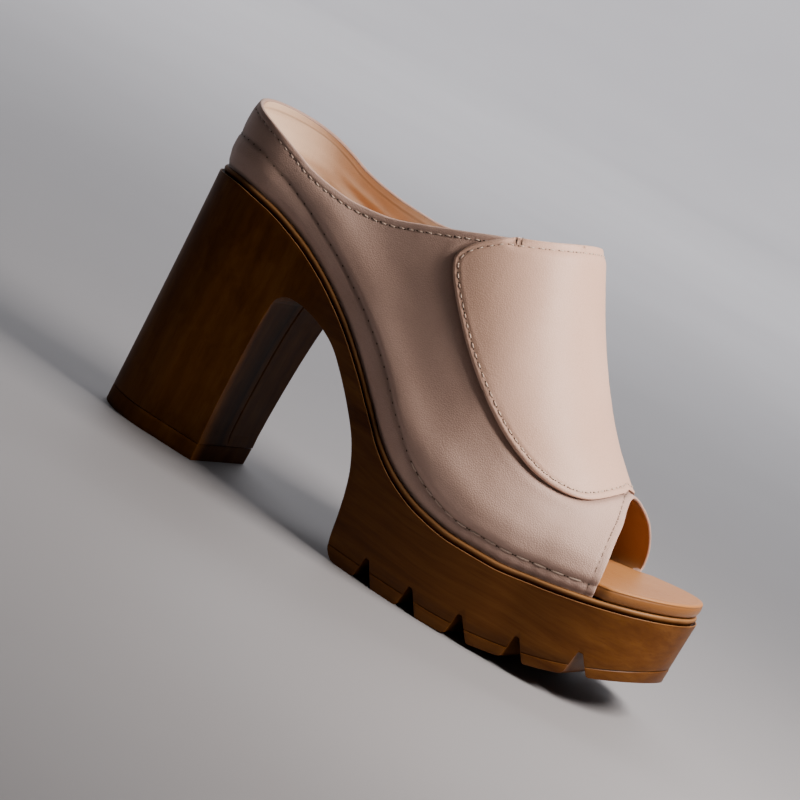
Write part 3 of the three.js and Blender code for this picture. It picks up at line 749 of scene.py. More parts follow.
def find_pq(side, x, z):
    """Strip and height of the surface's point with that x and z in the side view."""
    p, q = float(np.interp(x, np.linspace(0, 200, 50), np.linspace(0.02, 0.99, 50))), 0.6
    for _ in range(60):
        P = surface(np.array(p), np.array(q), side)
        e = 1e-4
        A = (surface(np.array(p + e), np.array(q), side) - P) / e
        B = (surface(np.array(p), np.array(q - e), side) - P) / -e
        J = np.array([[A[0], B[0]], [A[2], B[2]]])
        r = np.array([x - P[0], z - P[2]])
        if np.hypot(*r) < 1e-4:
            break
        try:
            st = np.linalg.solve(J, r)
        except np.linalg.LinAlgError:
            break
        p = float(np.clip(p + np.clip(st[0], -0.03, 0.03), 0.05, 0.999))
        q = float(np.clip(q + np.clip(st[1], -0.08, 0.08), 0.02, 0.9995))
    return p, q


def even(line, n, sx=210.0, sy=110.0):
    s_ = np.concatenate([[0], np.cumsum(np.hypot(np.diff(line[:, 0]) * sx, np.diff(line[:, 1]) * sy))])
    u_ = np.linspace(0, s_[-1], n) if np.isscalar(n) else np.asarray(n) * s_[-1]
    return np.stack([np.interp(u_, s_, line[:, k]) for k in (0, 1)], 1)


def poly_dist(P, line):
    """Distance from points to a line in space."""
    best = np.full(P.shape[:-1], 1e9)
    for a, b in zip(line[:-1], line[1:]):
        ab = b - a
        t_ = np.clip(((P - a) @ ab) / max(ab @ ab, 1e-12), 0, 1)
        best = np.minimum(best, np.linalg.norm(P - a - t_[..., None] * ab, axis=-1))
    return best


RIDGE_END = 187.35
OUTLINE = {}
for side in (-1, 1):
    pq = np.array([find_pq(side, float(x), float(z)) for x, z in smooth_line(OVERLAY_EDGE, 1.0)])
    pq[0, 1] = float(edge_q(pq[:1, 0], side, EDGE_DROP)[0])
    pq = pq[pq[:, 1] < 0.985]
    p_end = float(np.interp(RIDGE_END, strip(np.linspace(0, 1, 800), side)[2], np.linspace(0, 1, 800)))
    pq = np.concatenate([pq, [[pq[-1, 0] * 0.45 + p_end * 0.55, 0.993], [p_end, 1.0]]])
    pq = even(pq, 420)
    OUTLINE[side] = dict(pq=pq, P=surface(pq[:, 0], pq[:, 1], side), p_end=p_end)
P_THROAT = throat_p(EDGE_DROP)
BACK_COLS, FRONT_COLS, ROWS = 220, 84, 88
t_back = np.linspace(0, 1, BACK_COLS + 1)
ps = np.concatenate([P_THROAT * (1 - (1 - t_back) ** 1.9), P_THROAT + (1 - P_THROAT) * np.linspace(0, 1, FRONT_COLS + 1)[1:]])
COLS = len(ps)
r_rows = np.linspace(0, 1, ROWS + 1) ** 1.22


def base_grid(side):
    qe = edge_q(ps, side, EDGE_DROP)
    qe[BACK_COLS:] = 1.0
    q = qe[:, None] * r_rows[None, :]
    P = surface(ps[:, None] + 0 * q, q, side)
    P[0, :, 1] = 0.0
    return P, q, qe


def normals(p, q, side):
    h = 8e-4
    p0, p1, q0, q1 = np.clip(p - h, 0, 1), np.clip(p + h, 0, 1), np.clip(q - h, 0, 1), np.clip(q + h, 0, 1)
    du = surface(p1, q, side) - surface(p0, q, side)
    dv = surface(p, q1, side) - surface(p, q0, side)
    n = np.cross(du, dv) * (1 if side < 0 else -1)
    n[0, :, 1] = 0
    n[BACK_COLS + 1 :, -1, 1] = 0
    n[BACK_COLS, -1, 1] = 0
    ln = np.linalg.norm(n, axis=-1, keepdims=True)
    return n / np.maximum(ln, 1e-9)


def cloud(P, scale, seed):
    """Smooth noise per vertex, about -1 to 1."""
    flat = P.reshape(-1, 3) / scale
    return np.array([noise.noise(Vector((x + seed, y + 2.7 * seed, z))) for x, y, z in flat]).reshape(P.shape[:-1])


FOLDS = [  # side (-1 outer, 1 inner, 0 both), from x z, to x z, half width, depth (minus is a ridge)
    (0, 20, 108.5, 52, 98.5, 3.2, 0.35),
    (-1, 34, 110.0, 66, 101.5, 4.0, -0.30),
    (-1, 58, 96.0, 84, 82.5, 3.4, 0.28),
    (-1, 70, 100.0, 96, 84.0, 5.0, -0.25),
    (0, 88, 74.0, 106, 58.0, 3.0, 0.32),
    (-1, 100, 76.0, 118, 56.0, 4.5, -0.30),
    (0, 114, 53.0, 134, 41.5, 3.0, 0.30),
    (-1, 128, 56.0, 150, 46.0, 4.0, -0.26),
    (0, 150, 50.0, 176, 49.5, 3.2, 0.22),
    (-1, 168, 55.5, 188, 57.0, 2.6, 0.20),
    (-1, 176, 47.0, 194, 49.0, 2.8, -0.20),
    (1, 60, 104.0, 90, 90.0, 4.5, 0.25),
    (1, 96, 82.0, 120, 60.0, 4.0, -0.25),
    (1, 140, 52.0, 170, 47.0, 3.6, 0.22),
]


def folds(P, side):
    x, z = P[..., 0], P[..., 2]
    d = np.zeros(x.shape)
    for s, x0, z0, x1, z1, w, depth in FOLDS:
        if s not in (0, side):
            continue
        ax, az = x1 - x0, z1 - z0
        L2 = ax * ax + az * az
        t = np.clip(((x - x0) * ax + (z - z0) * az) / L2, 0, 1)
        dist = np.hypot(x - (x0 + ax * t), z - (z0 + az * t))
        d -= depth * np.exp(-((dist / w) ** 2)) * (0.35 + 0.65 * np.sin(np.pi * np.clip(t, 0.0, 1.0)))
    return d


def dense_arc(P):
    seg = np.linalg.norm(np.diff(P, axis=1), axis=-1)
    s = np.concatenate([np.zeros((P.shape[0], 1)), np.cumsum(seg, axis=1)], axis=1)
    return s, s[:, -1:] - s


HALF = {}
for side in (-1, 1):
    P, q, qe = base_grid(side)
    nrm = normals(ps[:, None] + 0 * q, q, side)
    up_len, to_edge = dense_arc(P)
    rise = P[..., 2] - P[:, :1, 2]
    seam = seam_rise(P[:, :1, 0])
    off_seam = rise - seam
    slope = np.hypot(1.0, 0.0)
    heel = 1 - smooth(16, 46, P[:, :1, 0])
    front = smooth(118, 136, P[:, :1, 0])
    d = folds(P, side)
    d += 0.10 * cloud(P, 16.0, 3.1) + 0.05 * cloud(P, 6.0, 8.3)
    # leather drawn in along the lower stitch line, with a soft pucker at each stitch in front
    pitch = 4.3 + 0.7 * front
    along = np.concatenate([[0], np.cumsum(np.linalg.norm(np.diff(P[:, 8], axis=0), axis=-1))])[:, None]
    pull = np.exp(-((off_seam / 0.95) ** 2))
    wide_pull = np.exp(-((off_seam / 2.6) ** 2))
    d -= (pull * (0.30 + 0.12 * front) + wide_pull * (0.22 + 0.25 * front)) * (1 - 0.75 * heel)
    d += 0.10 * front * np.exp(-(((off_seam + 1.6) / 1.6) ** 2)) * np.sin(2 * np.pi * along / pitch)
    d += 0.28 * np.exp(-(((off_seam - 2.6) / 1.9) ** 2)) * (0.4 + 0.6 * front)
    # painted shade in the drawn-in trough along the stitch line
    sh = 0.55 * pull + 0.18 * wide_pull
    # pressed in along the overlay's thick edge, with painted shadow beside it
    near_ov = poly_dist(P, OUTLINE[side]["P"][::4])
    below_collar = smooth(1.0, 7.0, to_edge + (np.arange(COLS)[:, None] > BACK_COLS) * 99)
    d -= 0.62 * np.exp(-((near_ov / 1.2) ** 2)) * below_collar
    d += 0.16 * np.exp(-(((near_ov - 3.6) / 1.6) ** 2)) * below_collar
    sh = sh + 0.8 * np.exp(-((near_ov / 1.15) ** 2)) * below_collar
    # tucked in where it meets the bead, with painted shade there
    tuck = np.exp(-((rise / 1.1) ** 2))
    d -= (0.55 - 0.25 * heel) * tuck
    sh = sh + 0.75 * tuck
    # turned edge of the collar, and its stitch row, with painted shade in the row's groove
    collar_part = np.zeros((COLS, 1))
    collar_part[: BACK_COLS + 1] = 1
    edge = to_edge + (1 - collar_part) * 99
    d += 0.16 * smooth(2.0, 1.2, edge) - 0.16 * np.exp(-(((edge - 2.15) / 0.55) ** 2))
    sh = sh + 0.28 * np.exp(-(((edge - 2.2) / 0.6) ** 2))
    # turned edge of the toe opening, with its row of needle holes and painted shade in their groove
    to_mouth = np.linalg.norm(P - P[-1:], axis=-1)
    mouth_d = np.concatenate([np.cumsum(np.linalg.norm(np.diff(P, axis=0), axis=-1)[::-1], axis=0)[::-1], np.zeros((1, ROWS + 1))])
    d += 0.12 * smooth(2.2, 1.3, mouth_d) - 0.12 * np.exp(-(((mouth_d - 2.4) / 0.5) ** 2))
    sh = sh + 0.2 * np.exp(-(((mouth_d - 2.4) / 0.6) ** 2))
    fade = smooth(0.0, 1.0, to_edge + 99 * (1 - collar_part)) if False else 1.0
    outer = P + nrm * (d * fade)[..., None]
    outer[:, 0, 2] -= 0.5
    if side < 0:
        ref = outer
    HALF[side] = dict(P=P, q=q, qe=qe, n=nrm, d=d, outer=outer, shade=np.clip(sh, 0, 1), arc=up_len, edge=edge, mouth=mouth_d, seam=off_seam)

# both halves share the ridge and the back of the heel exactly
for key in ("outer",):
    a, b = HALF[-1][key], HALF[1][key]
    m = (a[BACK_COLS:, -1] + b[BACK_COLS:, -1]) / 2
    a[BACK_COLS:, -1] = b[BACK_COLS:, -1] = m
    m = (a[0] + b[0]) / 2
    a[0] = b[0] = m

def unit(v):
    return v / np.maximum(np.linalg.norm(v, axis=-1, keepdims=True), 1e-9)


def edge_up(E, nn):
    """Direction in the leather, square to its edge and out of it; level across on the middle line."""
    t_ = unit(np.gradient(E, axis=0))
    u_ = unit(np.cross(t_, nn))
    if u_[:, 2].mean() < 0:
        u_ = -u_
    for _ in range(3):
        u_[1:-1] = unit(u_[:-2] + 2 * u_[1:-1] + u_[2:])
    u_[-1, 1] = 0
    return unit(u_)


# outer leather with its turned edges
verts, faces, uv, shade = [], [], [], []
count = 0
for side in (-1, 1):
    H = HALF[side]
    O, n = H["outer"], H["n"]
    thick = np.full((COLS, 1), WALL)
    thick = WALL + (MOUTH_EDGE - WALL) * smooth(0.955, 1, ps)[:, None]
    # turned edge of the collar: rows that roll over the top
    e = O[: BACK_COLS + 1, -1]
    en = n[: BACK_COLS + 1, -1]
    tang = edge_up(e, en)
    tang[0, 1] = 0
    roll = []
    for ang in np.linspace(0, 1, 8)[1:]:
        th = ang * math.pi * 1.0
        roll.append(e - en * (WALL / 2) * (1 - math.cos(th)) + tang * (0.62 * math.sin(th)))
    roll.append(e - en * WALL - tang * 1.2)
    roll = np.stack(roll, 1)
    if side > 0:
        roll[0] = ROLL0
    else:
        ROLL0 = roll[0].copy()
    body = O
    c0 = count
    verts.append(body.reshape(-1, 3))
    uv.append(np.stack([np.repeat(H["arc"][:, -1:] * 0 + np.linspace(0, 230, COLS)[:, None], ROWS + 1, 1), H["arc"]], -1).reshape(-1, 2))
    shade.append(H["shade"].ravel())
    faces += grid_faces(COLS, ROWS + 1, c0, flip=side > 0)
    count += body.shape[0] * body.shape[1]
    r0 = count
    R = np.concatenate([e[:, None], roll], 1)
    verts.append(R.reshape(-1, 3))
    uv.append(np.zeros((R.shape[0] * R.shape[1], 2)))
    rs = np.zeros(R.shape[:2])
    # the inner rows of the roll painted in shade
    rs[:, -2:] = 0.35
    shade.append(rs.ravel())
    faces += grid_faces(BACK_COLS + 1, R.shape[1], r0, flip=side > 0)
    count += R.shape[0] * R.shape[1]
    # turned edge of the toe opening
    m_e, m_n = O[-1], n[-1]
    fwd = O[-1] - O[-4]
    fwd /= np.maximum(np.linalg.norm(fwd, axis=-1, keepdims=True), 1e-9)
    mr = [m_e]
    for ang in np.linspace(0, 1, 7)[1:]:
        th = ang * math.pi
        mr.append(m_e - m_n * (MOUTH_EDGE / 2) * (1 - math.cos(th)) + fwd * (0.4 * math.sin(th)))
    mr.append(m_e - m_n * (MOUTH_EDGE * 0.97) - fwd * 1.0)
    mr.append(m_e - m_n * (MOUTH_EDGE * 0.9) - fwd * 2.6)
    mr = np.stack(mr, 0)
    verts.append(mr.reshape(-1, 3))
    uv.append(np.zeros((mr.shape[0] * mr.shape[1], 2)))
    ms = np.zeros(mr.shape[:2])
    shade.append(ms.ravel())
    faces += grid_faces(mr.shape[0], mr.shape[1], count, flip=side > 0)
    count += mr.shape[0] * mr.shape[1]
upper = make("upper_outer_leather", np.concatenate(verts), faces, M_UPPER, uv=np.concatenate(uv), shade=np.concatenate(shade))
weld(upper, 2e-6)
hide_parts("upper")

# lining: follows the inside, with soft puckers at the quarters
for name, lo, hi, mat in (("lining_quarters", 0, None, M_LINING), ("lining_toe", None, None, M_TOE_LINING)):
    verts, faces, shade, count = [], [], [], 0
    cut_col = int(np.searchsorted(ps, 0.80))
    rng = slice(0, cut_col + 1) if name == "lining_quarters" else slice(cut_col, COLS)
    rows = np.concatenate([np.arange(0, ROWS - 24, 2), np.arange(ROWS - 24, ROWS + 1)])
    for side in (-1, 1):
        H = HALF[side]
        base = H["P"][rng][:, rows]
        n = H["n"][rng][:, rows]
        dd = H["d"][rng][:, rows] * 0.4
        thick = (WALL + (MOUTH_EDGE - WALL) * smooth(0.955, 1, ps))[rng][:, None]
        rise = base[..., 2] - base[:, :1, 2]
        heel_pad = 0.2 * np.exp(-(((rise - 15.0) / 6.0) ** 2)) * (1 - smooth(10, 44, base[..., 0]))
        edge = H["edge"][rng][:, rows]
        # a soft welt where the quarter lining is joined, and puckers over it
        welt_z = 9.0 + 0.0 * rise
        u = np.linspace(0, 1, base.shape[0])[:, None]
        pucker = 0.0
        if name == "lining_quarters":
            X = base[..., 0]
            pucker = 0.55 * np.exp(-(((edge - 8.5 - 1.2 * np.sin(X / 9.0)) / 1.5) ** 2)) * smooth(22, 40, X) * smooth(100, 78, X)
            pucker = pucker - 0.35 * np.exp(-(((edge - 11.2 - 1.2 * np.sin(X / 9.0)) / 1.3) ** 2)) * smooth(22, 40, X) * smooth(100, 78, X)
        seam_in = 0.12 * np.exp(-(((edge - 2.4) / 0.45) ** 2)) if name == "lining_quarters" else 0.0
        L = base - n * (thick + 0.02 + heel_pad * 0.6 + pucker * 0.8 - seam_in)[..., None] + n * dd[..., None]
        L[:, 0, 2] -= 0.4
        if name == "lining_quarters":
            L[0, :, 1] = 0
        # attribute shade: painted shade in the welt's folds and at the bottom where the lining meets the insole, and
        # darker along the seam line 2.4 mm below the edge
        sl = 0.25 * np.exp(-(((edge - 10.0 - 1.2 * np.sin(base[..., 0] / 9.0)) / 1.0) ** 2)) * smooth(22, 40, base[..., 0]) * smooth(100, 78, base[..., 0])
        if name == "lining_quarters":
            sl = sl + 0.45 * np.exp(-(((edge - 2.4) / 0.4) ** 2))
        sl = sl + 0.3 * np.exp(-((rise / 3.0) ** 2))
        if side > 0 and name == "lining_quarters":
            k = LEFT.shape[0]
            L[0] = LEFT[0]
            front_cols = np.arange(rng.stop - rng.start)[ps[rng] >= P_THROAT - 1e-9]
            L[front_cols, -1] = LEFT[front_cols, -1]
        elif side > 0:
            L[:, -1] = LEFT[:, -1]
        else:
            if name == "lining_toe":
                L[:, -1, 1] = H["P"][rng][:, -1, 1]
            LEFT = L.copy()
        verts.append(L.reshape(-1, 3))
        shade.append(np.clip(sl, 0, 1).ravel())
        faces += grid_faces(L.shape[0], L.shape[1], count, flip=side < 0)
        count += L.shape[0] * L.shape[1]
    o = make(name, np.concatenate(verts), faces, mat, shade=np.concatenate(shade))
    weld(o, 2e-6)


# ------------------------------------------------------------------ points on the leather, for the seams
def sample(side, field, p, q):
    """Bilinear sample of a half's grid at strip p and height q."""
    H = HALF[side]
    A = H[field]
    i = np.clip(np.searchsorted(ps, p, side="right") - 1, 0, COLS - 2)
    fi = (p - ps[i]) / (ps[i + 1] - ps[i])
    r0 = np.clip(q / H["qe"][i], 0, 1) ** (1 / 1.22) * ROWS
    r1 = np.clip(q / H["qe"][i + 1], 0, 1) ** (1 / 1.22) * ROWS
    out = 0
    for k, w, r in ((i, 1 - fi, r0), (i + 1, fi, r1)):
        j = np.clip(np.floor(r).astype(int), 0, ROWS - 1)
        fj = np.clip(r - j, 0, 1)
        a, b = A[k, j], A[k, j + 1]
        if a.ndim > 1:
            fj, w = fj[:, None], w[:, None]
        out = out + w * (a * (1 - fj) + b * fj)
    return out


def line_on(side, field, target, p0, p1, n=900):
    """Points and normals where a per-vertex field of the half crosses a value, strip by strip."""
    pp = np.linspace(p0, p1, n)
    H = HALF[side]
    F = H[field]
    pts, nor = [], []
    i = np.clip(np.searchsorted(ps, pp, side="right") - 1, 0, COLS - 2)
    f = (pp - ps[i]) / (ps[i + 1] - ps[i])
    for k, w in zip(i, f):
        col = F[k] * (1 - w) + F[k + 1] * w
        P = H["outer"][k] * (1 - w) + H["outer"][k + 1] * w
        N_ = H["n"][k] * (1 - w) + H["n"][k + 1] * w
        s = col - target
        idx = np.nonzero(s[:-1] * s[1:] <= 0)[0]
        if len(idx) == 0:
            pts.append(None)
            nor.append(None)
            continue
        j = idx[-1]
        t = s[j] / (s[j] - s[j + 1] + 1e-12)
        pts.append(P[j] * (1 - t) + P[j + 1] * t)
        nor.append(N_[j] * (1 - t) + N_[j + 1] * t)
    keep = [k for k, p in enumerate(pts) if p is not None]
    return np.array([pts[k] for k in keep]), np.array([nor[k] for k in keep])


class Threads:
    """Collects stitches and needle holes as small solids."""

    def __init__(self):
        self.v, self.f = [], []
        self.count = 0

    def tube(self, centre, radius, n=7, squash=0.8, up=None):
        C = np.asarray(centre)
        m = len(C)
        t = np.gradient(C, axis=0)
        t /= np.linalg.norm(t, axis=1, keepdims=True) + 1e-12
        side_v = np.cross(t, up)
        side_v /= np.linalg.norm(side_v, axis=1, keepdims=True) + 1e-12
        upv = np.cross(side_v, t)
        a = np.linspace(0, 2 * np.pi, n, endpoint=False)
        ring = C[:, None] + radius[:, None, None] * (np.cos(a)[None, :, None] * side_v[:, None] + squash * np.sin(a)[None, :, None] * upv[:, None])
        self.v.append(ring.reshape(-1, 3))
        b = self.count
        for i in range(m - 1):
            for j in range(n):
                k = (j + 1) % n
                self.f.append((b + i * n + j, b + i * n + k, b + (i + 1) * n + k, b + (i + 1) * n + j))
        self.f.append(tuple(b + j for j in range(n))[::-1])
        self.f.append(tuple(b + (m - 1) * n + j for j in range(n)))
        self.count += m * n

    def stitch(self, a, b, na, nb, radius=0.26, lift=0.16, sink=0.18, seg=7):
        t = np.linspace(0, 1, seg)[:, None]
        n = na * (1 - t) + nb * t
        n /= np.linalg.norm(n, axis=1, keepdims=True)
        h = lift * np.sin(np.pi * t) - sink * (1 - np.sin(np.pi * t) ** 0.5)
        c = a * (1 - t) + b * t + n * h
        r = radius * (0.55 + 0.45 * np.sin(np.pi * t[:, 0]) ** 0.5)
        self.tube(c, r, 7, 0.85, n)

    def hole(self, p, n, along, r=0.3, stretch=1.3):
        n = n / np.linalg.norm(n)
        a = along - n * (along @ n)
        a /= np.linalg.norm(a) + 1e-12
        c = np.cross(n, a)
        ang = np.linspace(0, 2 * np.pi, 9, endpoint=False)
        ring = p + n * 0.045 + r * (np.cos(ang)[:, None] * a * stretch + np.sin(ang)[:, None] * c)
        low = p - n * 0.25 + 0.5 * r * (np.cos(ang)[:, None] * a * stretch + np.sin(ang)[:, None] * c)
        b = self.count
        self.v += [ring, low, (p + n * 0.05)[None]]
        k = len(ang)
        for j in range(k):
            m = (j + 1) % k
            self.f.append((b + j, b + m, b + 2 * k))
            self.f.append((b + k + j, b + k + m, b + m, b + j))
        self.f.append(tuple(b + k + j for j in range(k))[::-1])
        self.count += 2 * k + 1

    def build(self, name, mat, slot="upper_leather"):
        return make(name, np.concatenate(self.v), self.f, mat)


def resample(P, Nn, pitch, start=0.0, end=0.0):
    s = np.concatenate([[0], np.cumsum(np.linalg.norm(np.diff(P, axis=0), axis=1))])
    keep = np.concatenate([[True], np.diff(s) > 1e-9])
    s, P, Nn = s[keep], P[keep], Nn[keep]
    n = max(2, int((s[-1] - start - end) / pitch))
    u = start + np.arange(n + 1) * (s[-1] - start - end) / n
    return np.stack([np.interp(u, s, P[:, k]) for k in range(3)], 1), np.stack([np.interp(u, s, Nn[:, k]) for k in range(3)], 1)


rng = np.random.default_rng(7)
light, shady, holes = Threads(), Threads(), Threads()


def row(P, Nn, pitch, fill=0.72, radius=0.26, thread=None, lift=0.16, hole=0.28, gaps=True, start=0.6, end=0.6, jitter=0.05, slant=0.0, points=None):
    A, NA = resample(P, Nn, pitch, start, end) if points is None else points
    for i in range(len(A) - 1):
        c, d = A[i], A[i + 1]
        along = d - c
        tilt = np.cross(NA[i], along) / (np.linalg.norm(along) + 1e-9) * slant
        a0 = c + along * (1 - fill) / 2 + rng.normal(0, jitter, 3) * 0.5 + tilt
        b0 = d - along * (1 - fill) / 2 + rng.normal(0, jitter, 3) * 0.5 - tilt
        if thread is not None:
            thread.stitch(a0, b0, NA[i], NA[i + 1], radius, lift)
        if hole:
            holes.hole(a0 - along * 0.02, NA[i], along, hole)
            holes.hole(b0 + along * 0.02, NA[i + 1], along, hole)


def single_holes(P, Nn, pitch, r=0.27, start=1.0, end=1.0, stretch=1.2):
    A, NA = resample(P, Nn, pitch, start, end)
    for i in range(len(A)):
        holes.hole(A[i], NA[i], A[min(i + 1, len(A) - 1)] - A[max(i - 1, 0)], r, stretch)


def long_row(P, Nn):
    """Long stitches, closer at the arch and wider toward the toe."""
    s_ = np.concatenate([[0], np.cumsum(np.linalg.norm(np.diff(P, axis=0), axis=1))])
    at = [0.5]
    while True:
        x_ = float(np.interp(at[-1], s_, P[:, 0]))
        nxt = at[-1] + 4.8 + 1.1 * float(smooth(126, 172, x_))
        if nxt > s_[-1] - 0.8:
            break
        at.append(nxt)
    at = np.array(at) * (s_[-1] - 0.8) / at[-1]
    pts = (np.stack([np.interp(at, s_, P[:, k]) for k in range(3)], 1), np.stack([np.interp(at, s_, Nn[:, k]) for k in range(3)], 1))
    row(P, Nn, 5.0, 0.80, 0.31, light, 0.16, 0.33, points=pts, jitter=0.04)


P_OVER = float(np.interp(107.0, strip(ps, -1)[2], ps))  # the overlay's corner on the collar
for side in (-1, 1):
    # collar row, from the back of the heel to the overlay
    L, Ln = line_on(side, "edge", 2.15, 0.004, P_OVER)
    row(L, Ln, 3.5, 0.60, 0.27, light, 0.13, 0.36, slant=0.16)
    # lower line: needle holes from the heel to the arch, then long stitches to the toe opening
    S, Sn = line_on(side, "seam", 0.0, 0.004, 0.985)
    xs = S[:, 0]
    back, frontm = xs < 124, xs >= 122
    single_holes(S[back], Sn[back], 4.4, 0.29, stretch=1.5)
    long_row(S[frontm], Sn[frontm])
    # needle holes round the toe opening
    Mp, Mn = [], []
    for j in range(3, ROWS + 1):
        col = HALF[side]["mouth"][:, j]
        k = int(np.nonzero(col >= 2.4)[0][-1])
        t = (col[k] - 2.4) / (col[k] - col[k + 1] + 1e-9)
        Mp.append(HALF[side]["outer"][k, j] * (1 - t) + HALF[side]["outer"][k + 1, j] * t)
        Mn.append(HALF[side]["n"][k, j])
    HALF[side]["mouth_line"] = (np.array(Mp), np.array(Mn))

# ------------------------------------------------------------------ overlay
def spaced(first, n, last=None):
    """0 to 1, with close steps at the start and, if given, at the end."""
    a = np.array(first)
    b = 1 - np.array(last)[::-1] if last is not None else np.array([1.0])
    k = np.linspace(a[-1], b[0], n + 2)[1:-1]
    return np.concatenate([a, k, b])


CLOSE = [0, 0.0016, 0.004, 0.0075, 0.012, 0.018, 0.025, 0.033, 0.041, 0.05, 0.06, 0.072, 0.088]
CLOSE_DOWN = [0, 0.0009, 0.0024, 0.0046, 0.0075, 0.011, 0.015, 0.02, 0.025, 0.03, 0.036, 0.044, 0.055]
vv = spaced(CLOSE, 44)
tt = spaced(CLOSE_DOWN, 78, CLOSE_DOWN)
OV = {}
for side in (-1, 1):
    out = OUTLINE[side]
    k = int(np.argmin(np.abs(out["P"][:, 0] - 152.0) + (out["P"][:, 2] > 80) * 50))
    left, bot = even(out["pq"][: k + 1], tt), even(out["pq"][k:], vv)
    right = np.stack([P_THROAT + (out["p_end"] - P_THROAT) * tt, np.ones(len(tt))], 1)
    tp = left[0, 0] + (P_THROAT - left[0, 0]) * (1 - (1 - vv) ** 1.6)
    tq = edge_q(tp, side, EDGE_DROP)
    tq[-1] = 1.0
    topc = np.stack([tp, tq], 1)
    a, b = tt[:, None, None], vv[None, :, None]
    G = (1 - b) * left[:, None] + b * right[:, None] + (1 - a) * topc[None] + a * bot[None] - (
        (1 - a) * (1 - b) * left[0] + (1 - a) * b * right[0] + a * (1 - b) * left[-1] + a * b * right[-1]
    )
    G[..., 1] = np.clip(G[..., 1], 0, 1)
    P = surface(G[..., 0], G[..., 1], side)
    e = 2e-3
    qm = np.clip(G[..., 1], e, 0.992)
    A = surface(np.clip(G[..., 0] + e, 0, 1), qm, side) - surface(np.clip(G[..., 0] - e, 0, 1), qm, side)
    B = surface(G[..., 0], qm + e, side) - surface(G[..., 0], qm - e, side)
    n = np.cross(A, B) * (1 if side < 0 else -1)
    n[:, -1, 1] = 0
    n /= np.maximum(np.linalg.norm(n, axis=-1, keepdims=True), 1e-9)
    OV[side] = dict(G=G, P=P, n=n)

m = (OV[-1]["P"][:, -1] + OV[1]["P"][:, -1]) / 2
mn = OV[-1]["n"][:, -1] + OV[1]["n"][:, -1]
mn /= np.linalg.norm(mn, axis=-1, keepdims=True)
for side in (-1, 1):
    OV[side]["P"][:, -1] = m
    OV[side]["n"][:, -1] = mn
rim_line = np.concatenate([OUTLINE[-1]["P"][::2], OUTLINE[1]["P"][::-1][::2]])
top_line = np.concatenate([OV[-1]["P"][0], OV[1]["P"][0][::-1]])

R_EDGE = (GAP + OVERLAY) / 2


for side in (-1, 1):
    O = OV[side]
    P, n = O["P"], O["n"]
    rim_d, top_d = poly_dist(P, rim_line), poly_dist(P, top_line)
    rim_d[:, 0] = 0
    rim_d[-1] = 0
    top_d[0] = 0
    thin = 0.42 + 0.58 * smooth(0.4, 5.0, top_d)
    end = 1 - 0.42 * smooth(150, 184, P[..., 0]) * smooth(14.0, 3.0, rim_d) - 0.28 * smooth(175, 186, P[..., 0]) * smooth(7.0, 1.0, rim_d)
    t_ = np.clip(rim_d, 0, R_EDGE)
    off = R_EDGE + np.sqrt(np.clip(R_EDGE**2 - (R_EDGE - t_) ** 2, 0, None))
    off += 0.12 * np.exp(-(((rim_d - 1.15) / 0.45) ** 2)) - 0.2 * np.exp(-(((rim_d - 2.15) / 0.5) ** 2)) + 0.06 * np.exp(-(((rim_d - 3.2) / 0.8) ** 2))
    off -= (0.12 * np.exp(-(((top_d - 2.1) / 0.5) ** 2)) - 0.06 * np.exp(-(((top_d - 1.1) / 0.5) ** 2))) * smooth(1.0, 2.2, rim_d)
    off *= thin * end
    off += (0.08 * cloud(P, 18.0, 5.2) + 0.03 * cloud(P, 7.0, 1.7)) * smooth(0.5, 4, rim_d)
    O.update(rim_d=rim_d, top_d=top_d, thin=thin, end=end, Q=P + n * off[..., None], off=off)
m = (OV[-1]["Q"][:, -1] + OV[1]["Q"][:, -1]) / 2
verts, faces, shade, count = [], [], [], 0
ov_v, ov_f, ov_c = [], [], 0
